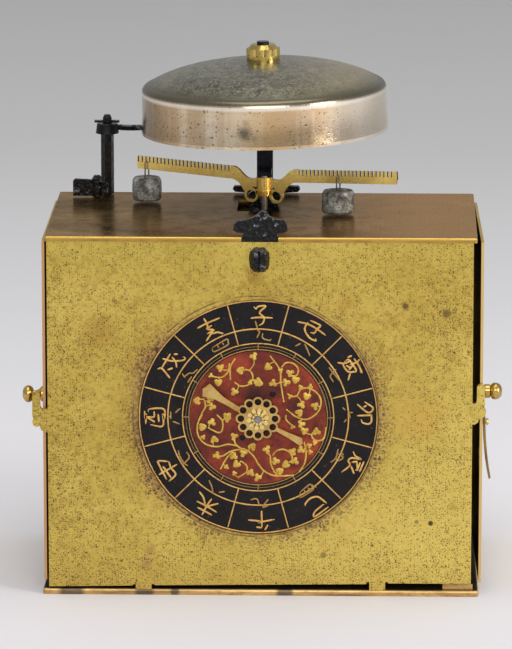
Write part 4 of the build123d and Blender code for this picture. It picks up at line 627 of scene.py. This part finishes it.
def steel(name="steel"):
    m = Mat(name, metallic=1.0, roughness=0.3)
    a = m.noise(2.4, 5, 0.6)
    b = m.noise(0.5, 3, 0.6)
    base = m.mix(m.fit(a, 0.4, 0.7, 0, 0.7), lin((150, 148, 144)), lin((92, 86, 80)))
    base = m.mix(m.fit(b, 0.6, 0.8, 0, 0.4), base, lin((60, 46, 36)))
    m.colour(base)
    m.rough(m.fit(b, 0.3, 0.7, 0.22, 0.42))
    m.bump(b, 0.02, 0.4)
    return m.m


def lead():
    """Cast lead weights: dull blue grey, dented, with pale oxide and dark hollows."""
    m = Mat("lead", metallic=0.55, roughness=0.55)
    a = m.noise(2.6, 5, 0.65)
    b = m.noise(0.7, 4, 0.7)
    base = m.ramp(a, (0.36, (70, 68, 62)), (0.48, (128, 128, 122)), (0.6, (178, 180, 174)), (0.72, (204, 206, 202)))
    base = m.mix(m.fit(b, 0.5, 0.64, 0, 0.8), base, lin((58, 54, 48)))
    m.colour(base)
    m.rough(m.fit(b, 0.3, 0.7, 0.4, 0.66))
    m.bump(m.math("ADD", a, m.both(b, 0.7)), 0.25, 0.8)
    return m.m


def foliot_brass():
    """The foliot: filed yellow brass, with painted shade, nearly black, on the walls of its cuts that face along its
    arms.
    """
    m = Mat("foliot_brass", metallic=0.95, roughness=0.3)
    cloud = m.noise(6, 5, 0.6)
    fine = m.noise(0.8, 4, 0.65)
    base = m.mix(m.fit(cloud, 0.4, 0.7, 0, 0.55), lin((250, 220, 126)), lin((218, 176, 84)))
    base = m.mix(m.fit(fine, 0.56, 0.74, 0, 0.35), base, lin((150, 110, 48)))
    turn = math.radians(-18.0)
    n = m.facing()
    along = m.math("ADD", m.math("MULTIPLY", n[0], math.cos(turn)), m.math("MULTIPLY", n[1], math.sin(turn)))
    # painted shade: walls that face along the arms, in the saw cuts and beside the hub, are painted nearly black
    cut_wall_shade = m.both(m.fit(m.math("ABSOLUTE", along), 0.8, 0.95, 0, 1), m.fit(m.z, 0.1315, 0.1325, 0, 1))
    base = m.mix(m.both(cut_wall_shade, 0.92), base, lin((40, 28, 14)))
    m.colour(base)
    m.rough(m.math("ADD", m.fit(fine, 0.3, 0.7, 0.22, 0.38), m.both(cut_wall_shade, 0.3)))
    m.bump(fine, 0.03, 0.4)
    return m.m


def rosette_gold():
    """The rosette: bright gold petals, darker in the grooves between them and at the centre."""
    m = Mat("rosette_gold", metallic=0.95, roughness=0.25)
    fine = m.noise(0.5, 4, 0.65)
    a = m.math("ARCTAN2", m.math("SUBTRACT", m.z, dial_z * MM), m.math("SUBTRACT", m.x, dial_x * MM))
    t = m.math("FRACT", m.math("ADD", m.math("MULTIPLY", a, 10 / (2 * math.pi)), 20.25))
    groove = m.fit(m.math("ABSOLUTE", m.math("SUBTRACT", t, 0.5)), 0.33, 0.45, 0, 1)
    base = m.mix(m.fit(fine, 0.4, 0.7, 0, 0.6), lin((240, 214, 140)), lin((196, 158, 84)))
    r = m.axis_r(dial_x, dial_z)
    groove = m.either(groove, m.both(m.fit(r, 0.0014, 0.0011, 0, 1), 0.7))
    base = m.mix(m.both(groove, 0.85), base, lin((44, 34, 22)))
    m.colour(base)
    m.rough(m.fit(fine, 0.3, 0.7, 0.16, 0.34))
    m.bump(m.math("SUBTRACT", fine, m.both(groove, 2.0)), 0.08, 0.6)
    return m.m


def black_lacquer():
    """The ring: black lacquer on brass, with tiny brown chips and a soft gloss."""
    m = Mat("black_lacquer", metallic=0.0, roughness=0.45, Specular_IOR_Level=0.2)
    a = m.noise(6, 5, 0.6)
    b = m.noise(1.0, 4, 0.7)
    base = m.ramp(a, (0.35, (15, 12, 13)), (0.6, (24, 19, 20)), (0.8, (36, 28, 26)))
    chips = m.either(pits(m, 0.7, 0.07, "xz", 0.26), m.both(pits(m, 1.9, 0.04, "xz", 0.2), 0.7))
    base = m.mix(m.both(chips, 0.75), base, lin((112, 82, 50)))
    base = m.mix(m.fit(b, 0.62, 0.8, 0, 0.5), base, lin((74, 60, 46)))
    m.colour(base)
    m.rough(m.fit(b, 0.3, 0.7, 0.38, 0.56))
    m.bump(m.math("SUBTRACT", m.both(b, 0.5), chips), 0.03, 0.5)
    return m.m


def red_lacquer():
    """The centre: cinnabar red, with darker maroon patches and chips."""
    m = Mat("red_lacquer", metallic=0.0, roughness=0.45, Specular_IOR_Level=0.25)
    a = m.noise(9, 6, 0.62, 0.4)
    b = m.noise(1.3, 5, 0.7)
    base = m.ramp(a, (0.32, (60, 26, 20)), (0.45, (106, 38, 24)), (0.6, (142, 54, 30)), (0.8, (172, 84, 48)))
    base = m.mix(m.fit(b, 0.55, 0.75, 0, 0.7), base, lin((84, 38, 30)))
    base = m.mix(m.both(m.either(pits(m, 1.0, 0.2), pits(m, 1.8, 0.14)), 0.7), base, lin((58, 30, 26)))
    # darker, nearly black, under the hand's boss
    base = m.mix(m.both(m.fit(m.axis_r(-0.8, 59.6), 0.0069, 0.0062, 0, 1), 0.92), base, lin((30, 20, 16)))
    m.colour(base)
    m.rough(m.fit(b, 0.3, 0.7, 0.38, 0.56))
    m.bump(b, 0.04, 0.5)
    return m.m


def gold_paint(name="gold_paint", faint=0.0, low=(196, 144, 70), mid=(222, 174, 96), high=(240, 202, 130)):
    """Gold lacquer of the lines and letters: warm, a little rubbed."""
    m = Mat(name, metallic=0.5, roughness=0.45)
    a = m.noise(3.0, 5, 0.65)
    b = m.noise(0.5, 3, 0.7)
    base = m.ramp(a, (0.3, low), (0.55, mid), (0.8, high))
    base = m.mix(m.fit(b, 0.54, 0.7, 0, 0.7), base, lin((132, 86, 42)))
    base = m.mix(m.math("ADD", m.fit(a, 0.3, 0.7, faint * 0.7, faint), 0.0), base, lin((66, 48, 32)))
    m.colour(base)
    m.rough(m.fit(b, 0.3, 0.7, 0.3, 0.5))
    m.bump(b, 0.02, 0.5)
    return m.m


mats = {
    "case_brass": plate_brass("case_brass"),
    "top_brass": top_brass(),
    "turned_brass": polished_brass("turned_brass", (210, 178, 104), (136, 102, 56)),
    "wheel_brass": polished_brass("wheel_brass", (206, 168, 84), (150, 112, 52), (0.26, 0.44)),
    "foliot_brass": foliot_brass(),
    "bell_bronze": bell_bronze(),
    "iron": iron("iron"),
    "steel": steel(),
    "lead": lead(),
    "black_lacquer": black_lacquer(),
    "red_lacquer": red_lacquer(),
}
by_node = {
    "front_plate": plate_brass("front_brass", "xz", front=True, inner=(1, 1)),
    "front_lug": black_iron("lug_iron", 0.6, 1.3),
    "rear_lug": black_iron("rear_iron", 0.5, 1.4),
    "case_screws": black_iron("screw_iron", 0.9, 1.5, 0.3),
    "bell_stand": black_iron("stand_iron", 0.3, 1.6, 0.2),
    "strike_lever": black_iron("lever_iron", 0.5, 1.3),
    "hammer_arbor": black_iron("arbor_iron", 0.25, 2.0),
    "hammer_arm": black_iron("arm_iron", 0.2, 2.0),
    "hammer_pin": black_iron("pin_iron", 0.2, 1.2),
    "left_weight_hook": iron("hook_iron", (92, 84, 74), 0.5, (0.25, 0.45), 0.05),
    "right_weight_hook": iron("hook_iron_2", (74, 72, 68), 0.4, (0.25, 0.45), 0.05),
    "base_plate": base_brass(),
    "back_plate": plate_brass("back_brass", "xz"),
    "left_door": plate_brass("left_door_brass", "yz", inner=(0, 1), rim=(208, 160, 112)),
    "right_door": plate_brass("right_door_brass", "yz", inner=(0, -1), rim=(216, 182, 116)),
    "keyhole_leaf": polished_brass("leaf_brass", (158, 128, 70), (72, 52, 30), (0.3, 0.5)),
    "dial_back_plate": plate_brass("inner_brass", "xz"),
    "hand_rosette": rosette_gold(),
    "hour_hand": polished_brass("hand_gold", (212, 178, 108), (164, 124, 66), (0.26, 0.45), 0.6),
    "bell_nut": polished_brass("nut_brass", (206, 180, 104), (122, 98, 46), (0.1, 0.24), 0.7),
    "foliot_collet": polished_brass("collet_brass", (240, 206, 116), (190, 148, 66), (0.12, 0.26), 0.4),
}
slot_of = {p["node"]: p["material_slot"] for p in frame["record"]["subparts"]}
for name, obj in frame["nodes"].items():
    material = by_node.get(name) or mats[slot_of[name]]
    if not obj.material_slots:
        obj.data.materials.append(material)
    for s in obj.material_slots:
        s.material = material


# ---------------------------------------------------------------- gold strokes on the dial
def smooth_path(points, step=0.35):
    """Points along a Catmull-Rom curve through the given ones, about step mm apart."""
    if len(points) == 2:
        ext = points
    p = [Vector(q) for q in points]
    p = [p[0] * 2 - p[1]] + p + [p[-1] * 2 - p[-2]]
    out = []
    for i in range(1, len(p) - 2):
        a, b, c, d = p[i - 1], p[i], p[i + 1], p[i + 2]
        n = max(2, int((c - b).length / step))
        for j in range(n):
            t = j / n
            out.append(0.5 * ((2 * b) + (c - a) * t + (2 * a - 5 * b + 4 * c - d) * t * t + (3 * b - a - 3 * c + d) * t * t * t))
    out.append(p[-2])
    return out


def ribbon(bm, path, widths, face_y, height, closed=False):
    """A raised stroke on the plane y = face_y: a band with sloping edges along path, mm right of and above the dial's centre."""
    n = len(path)
    rows = []
    for i, q in enumerate(path):
        a = path[(i - 1) % n] if closed or i else path[0]
        b = path[(i + 1) % n] if closed or i < n - 1 else path[-1]
        t = (b - a)
        t = t.normalized() if t.length > 1e-9 else Vector((1, 0))
        side = Vector((-t.y, t.x))
        w = widths[i] / 2
        row = []
        for off, up in ((-w, 0.0), (-w * 0.62, 1.0), (w * 0.62, 1.0), (w, 0.0)):
            v = q + side * off
            row.append(bm.verts.new(((dial_x + v.x) * MM, (face_y + 0.02 - (height + 0.02) * up) * MM, (dial_z + v.y) * MM)))
        rows.append(row)
    pairs = [(rows[i], rows[i + 1]) for i in range(n - 1)]
    if closed:
        pairs.append((rows[-1], rows[0]))
    for r, s in pairs:
        for j in range(4):
            bm.faces.new((r[j], s[j], s[(j + 1) % 4], r[(j + 1) % 4]))
    if not closed:
        bm.faces.new(rows[0])
        bm.faces.new(list(reversed(rows[-1])))


def brush(n, width, start=0.55, end=0.45, swell=0.15):
    """Widths of a brush stroke: narrower at its ends, with a small swell."""
    out = []
    for i in range(n):
        t = i / max(1, n - 1)
        edge = min(1.0, start + t * 5) * min(1.0, end + (1 - t) * 5)
        out.append(width * edge * (1 + swell * math.sin(t * math.pi)) * rng.uniform(0.95, 1.05))
    return out


def ring_path(r, n=240):
    return [Vector((r * math.cos(2 * math.pi * i / n), r * math.sin(2 * math.pi * i / n))) for i in range(n)]


def finish_mesh(bm, name, body, material):
    bmesh.ops.recalc_face_normals(bm, faces=bm.faces)
    me = bpy.data.meshes.new(name)
    bm.to_mesh(me)
    bm.free()
    me.materials.append(material)
    for p in me.polygons:
        p.use_smooth = True
    obj = bpy.data.objects.new(name, me)
    bpy.context.scene.collection.objects.link(obj)
    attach(obj, body)
    return obj


gold = gold_paint()
faint_gold = gold_paint("gold_paint_faint", 0.5)
leaf_gold = gold_paint("gold_paint_leaf", 0.0, (178, 140, 48), (212, 176, 74), (236, 206, 106))

bm = bmesh.new()
for r in band_rs[:3]:
    w = 0.52 if r > 25 else 0.44
    ribbon(bm, ring_path(r), [w * rng.uniform(0.9, 1.1) for _ in range(240)], ring_face_y, 0.045 + rng.uniform(0, 0.01), closed=True)
for i in range(12):
    a = math.radians(15 + 30 * i)
    d = Vector((math.cos(a), math.sin(a)))
    path = smooth_path([d * 24.7, d * 31, d * 38.6], 1.2)
    ribbon(bm, path, brush(len(path), 0.46, 0.95, 0.95, 0.0), ring_face_y, 0.05 + 0.001 * i)
finish_mesh(bm, "dial_ring_lines", "case", gold)

bm = bmesh.new()
for r, w in ((band_rs[3], 0.36), (23.5, 0.16)):
    ribbon(bm, ring_path(r), [w * rng.uniform(0.9, 1.1) for _ in range(240)], ring_face_y, 0.045 + rng.uniform(0, 0.01), closed=True)
for i in range(12):
    a = math.radians(30 * i)
    d = Vector((math.cos(a), math.sin(a)))
    path = smooth_path([d * 22.7, d * 23.6, d * 24.5], 0.6)
    ribbon(bm, path, brush(len(path), 0.36, 0.95, 0.95, 0.0), ring_face_y, 0.06 + 0.001 * i)
for i, stroke in enumerate(NUMERALS):
    path = smooth_path(stroke)
    ribbon(bm, path, brush(len(path), 0.5), ring_face_y, 0.045 + 0.0015 * (i % 12))
finish_mesh(bm, "dial_numerals", "case", faint_gold)

bm = bmesh.new()
for i, stroke in enumerate(SIGNS):
    path = smooth_path(stroke)
    ribbon(bm, path, brush(len(path), 0.62), ring_face_y, 0.045 + 0.0015 * (i % 12))
finish_mesh(bm, "dial_hour_signs", "case", gold)

bm = bmesh.new()
vine_points = []
for i, stroke in enumerate(VINES):
    path = smooth_path(stroke)
    vine_points += path
    ribbon(bm, path, brush(len(path), 0.56, 0.8, 0.6, 0.1), centre_face_y, 0.04 + 0.0015 * (i % 12))
    # a small round bud closes the free end of each vine
    q = path[-1]
    bud = [q + Vector((0.34 * math.cos(t), 0.34 * math.sin(t))) for t in [2 * math.pi * j / 14 for j in range(14)]]
    low = [bm.verts.new(((dial_x + v.x) * MM, (centre_face_y + 0.02) * MM, (dial_z + v.y) * MM)) for v in bud]
    top = [bm.verts.new(((dial_x + q.x + (v.x - q.x) * 0.8) * MM, (centre_face_y - 0.07 - 0.001 * i) * MM, (dial_z + q.y + (v.y - q.y) * 0.8) * MM)) for v in bud]
    for j in range(14):
        bm.faces.new((low[j], low[(j + 1) % 14], top[(j + 1) % 14], top[j]))
    bm.faces.new(top)
    bm.faces.new(list(reversed(low)))


def lobed(t, lobes, size):
    """Radius of a leaf outline at angle t: the outer edge of its round lobes."""
    best = 0.42 * size
    for a, d, q in lobes:
        c, s = math.cos(t - a), math.sin(t - a)
        if c > 0 and abs(s) * d < q:
            best = max(best, size * (d * c + math.sqrt(q * q - d * d * s * s)))
    return best


for i, (u, w, size) in enumerate(LEAVES):
    # a leaf of three round lobes, turned away from the nearest vine, with a short stalk to it
    c = Vector((u, w))
    near = min(vine_points, key=lambda v: (v - c).length)
    away = c - near
    gap = away.length
    turn = math.atan2(away.y, away.x) if gap > 0.6 else rng.uniform(0, 2 * math.pi)
    turn += rng.uniform(-0.3, 0.3)
    if 0.9 < gap < 5.5:
        bend = Vector((-away.y, away.x)) * rng.choice((-0.16, 0.16))
        stalk = smooth_path([near, near + away * 0.5 + bend, c])
        ribbon(bm, stalk, brush(len(stalk), 0.42, 0.9, 0.9, 0.0), centre_face_y, 0.043 + 0.0011 * (i % 14))
    lobes = [(turn, 0.56, 0.5), (turn + 2.0 + rng.uniform(-0.2, 0.2), 0.56, 0.46), (turn - 2.0 + rng.uniform(-0.2, 0.2), 0.56, 0.46)]
    if size > 1.2 and i % 3 == 0:
        lobes += [(turn + 1.0, 0.5, 0.36), (turn - 1.0, 0.5, 0.36)]
    n = 48
    h = centre_face_y - 0.06 - 0.0012 * (i % 14)
    low, top = [], []
    for j in range(n):
        t = 2 * math.pi * j / n
        r = lobed(t, lobes, size * 1.12)
        for ring, scale, y in ((low, 1.0, centre_face_y + 0.02), (top, 0.84, h)):
            ring.append(bm.verts.new(((dial_x + u + r * scale * math.cos(t)) * MM, y * MM, (dial_z + w + r * scale * math.sin(t)) * MM)))
    for j in range(n):
        bm.faces.new((low[j], low[(j + 1) % n], top[(j + 1) % n], top[j]))
    bm.faces.new(top)
    bm.faces.new(list(reversed(low)))
finish_mesh(bm, "dial_scroll", "case", leaf_gold)


# ---------------------------------------------------------------- floor, lights, camera
def floor_material():
    m = Mat("floor_paper", metallic=0.0, roughness=0.65, Specular_IOR_Level=0.25)
    # painted light and shade: the floor is painted brightest a little behind the clock and darker towards the back,
    # where the light falls off
    falloff_depth = m.fit(m.y, -1.95, 0.6, 0, 1)
    tone = m.ramp(falloff_depth, (0.0, (226, 224, 228)), (0.106, (227, 225, 229)), (0.137, (231, 229, 233)), (0.202, (235, 233, 236)), (0.31, (221, 220, 222)), (0.451, (206, 206, 205)), (0.631, (202, 202, 201)), (1.0, (190, 190, 190)))
    tone = m.mix(m.fit(m.noise(60, 3, 0.5), 0.3, 0.7, 0, 0.03), tone, lin((225, 225, 230)))
    m.colour(tone)
    m.bump(m.noise(1.5, 3, 0.5), 0.02, 0.1)
    return m.m


bm = bmesh.new()
grid = bmesh.ops.create_grid(bm, x_segments=24, y_segments=24, size=4.0)
me = bpy.data.meshes.new("floor")
bm.to_mesh(me)
bm.free()
floor = bpy.data.objects.new("floor", me)
floor.location = (0, 1.6, -0.00005)
bpy.context.scene.collection.objects.link(floor)
me.materials.append(floor_material())
floor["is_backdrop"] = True

world = bpy.data.worlds.new("studio")
world.use_nodes = True
bpy.context.scene.world = world
wt = world.node_tree
bg = wt.nodes["Background"]
wc = wt.nodes.new("ShaderNodeTexCoord")
ws = wt.nodes.new("ShaderNodeSeparateXYZ")
wt.links.new(wc.outputs["Generated"], ws.inputs[0])
wr = wt.nodes.new("ShaderNodeValToRGB")
wt.links.new(ws.outputs[2], wr.inputs[0])
wr.color_ramp.elements[0].position, wr.color_ramp.elements[0].color = 0.0, (0.62, 0.62, 0.63, 1)
wr.color_ramp.elements[1].position, wr.color_ramp.elements[1].color = 1.0, (0.95, 0.95, 0.97, 1)
wt.links.new(wr.outputs[0], bg.inputs[0])
bg.inputs[1].default_value = 0.62


def softbox(name, at, aim, size, power, tone=(1, 1, 1)):
    light = bpy.data.lights.new(name, "AREA")
    light.shape, light.size, light.size_y = "RECTANGLE", size[0], size[1]
    light.energy, light.color = power, tone
    obj = bpy.data.objects.new(name, light)
    obj.location = at
    obj.rotation_euler = (Vector(aim) - Vector(at)).to_track_quat("-Z", "Y").to_euler()
    bpy.context.scene.collection.objects.link(obj)


softbox("front_soft", (0.1, -1.9, 1.05), (0, 0, 0.08), (1.3, 0.9), 13)
softbox("top_soft", (0.05, -0.1, 1.35), (0, 0, 0.1), (1.0, 0.8), 6)
softbox("right_soft", (1.25, -0.75, 0.6), (0, 0, 0.08), (0.5, 0.8), 9)

cam = bpy.data.cameras.new("camera")
cam.sensor_fit, cam.sensor_width, cam.lens = "HORIZONTAL", 36.0, 346.46
cam.clip_start, cam.clip_end = 0.05, 50.0
camera = bpy.data.objects.new("camera", cam)
camera.location = (0.04014, -1.60008, 0.42181)
camera.rotation_euler = (math.radians(90 - 11.9787), 0.0, math.radians(1.5275))
bpy.context.scene.collection.objects.link(camera)
bpy.context.scene.camera = camera
bpy.context.scene.view_settings.view_transform = "Standard"

low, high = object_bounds()
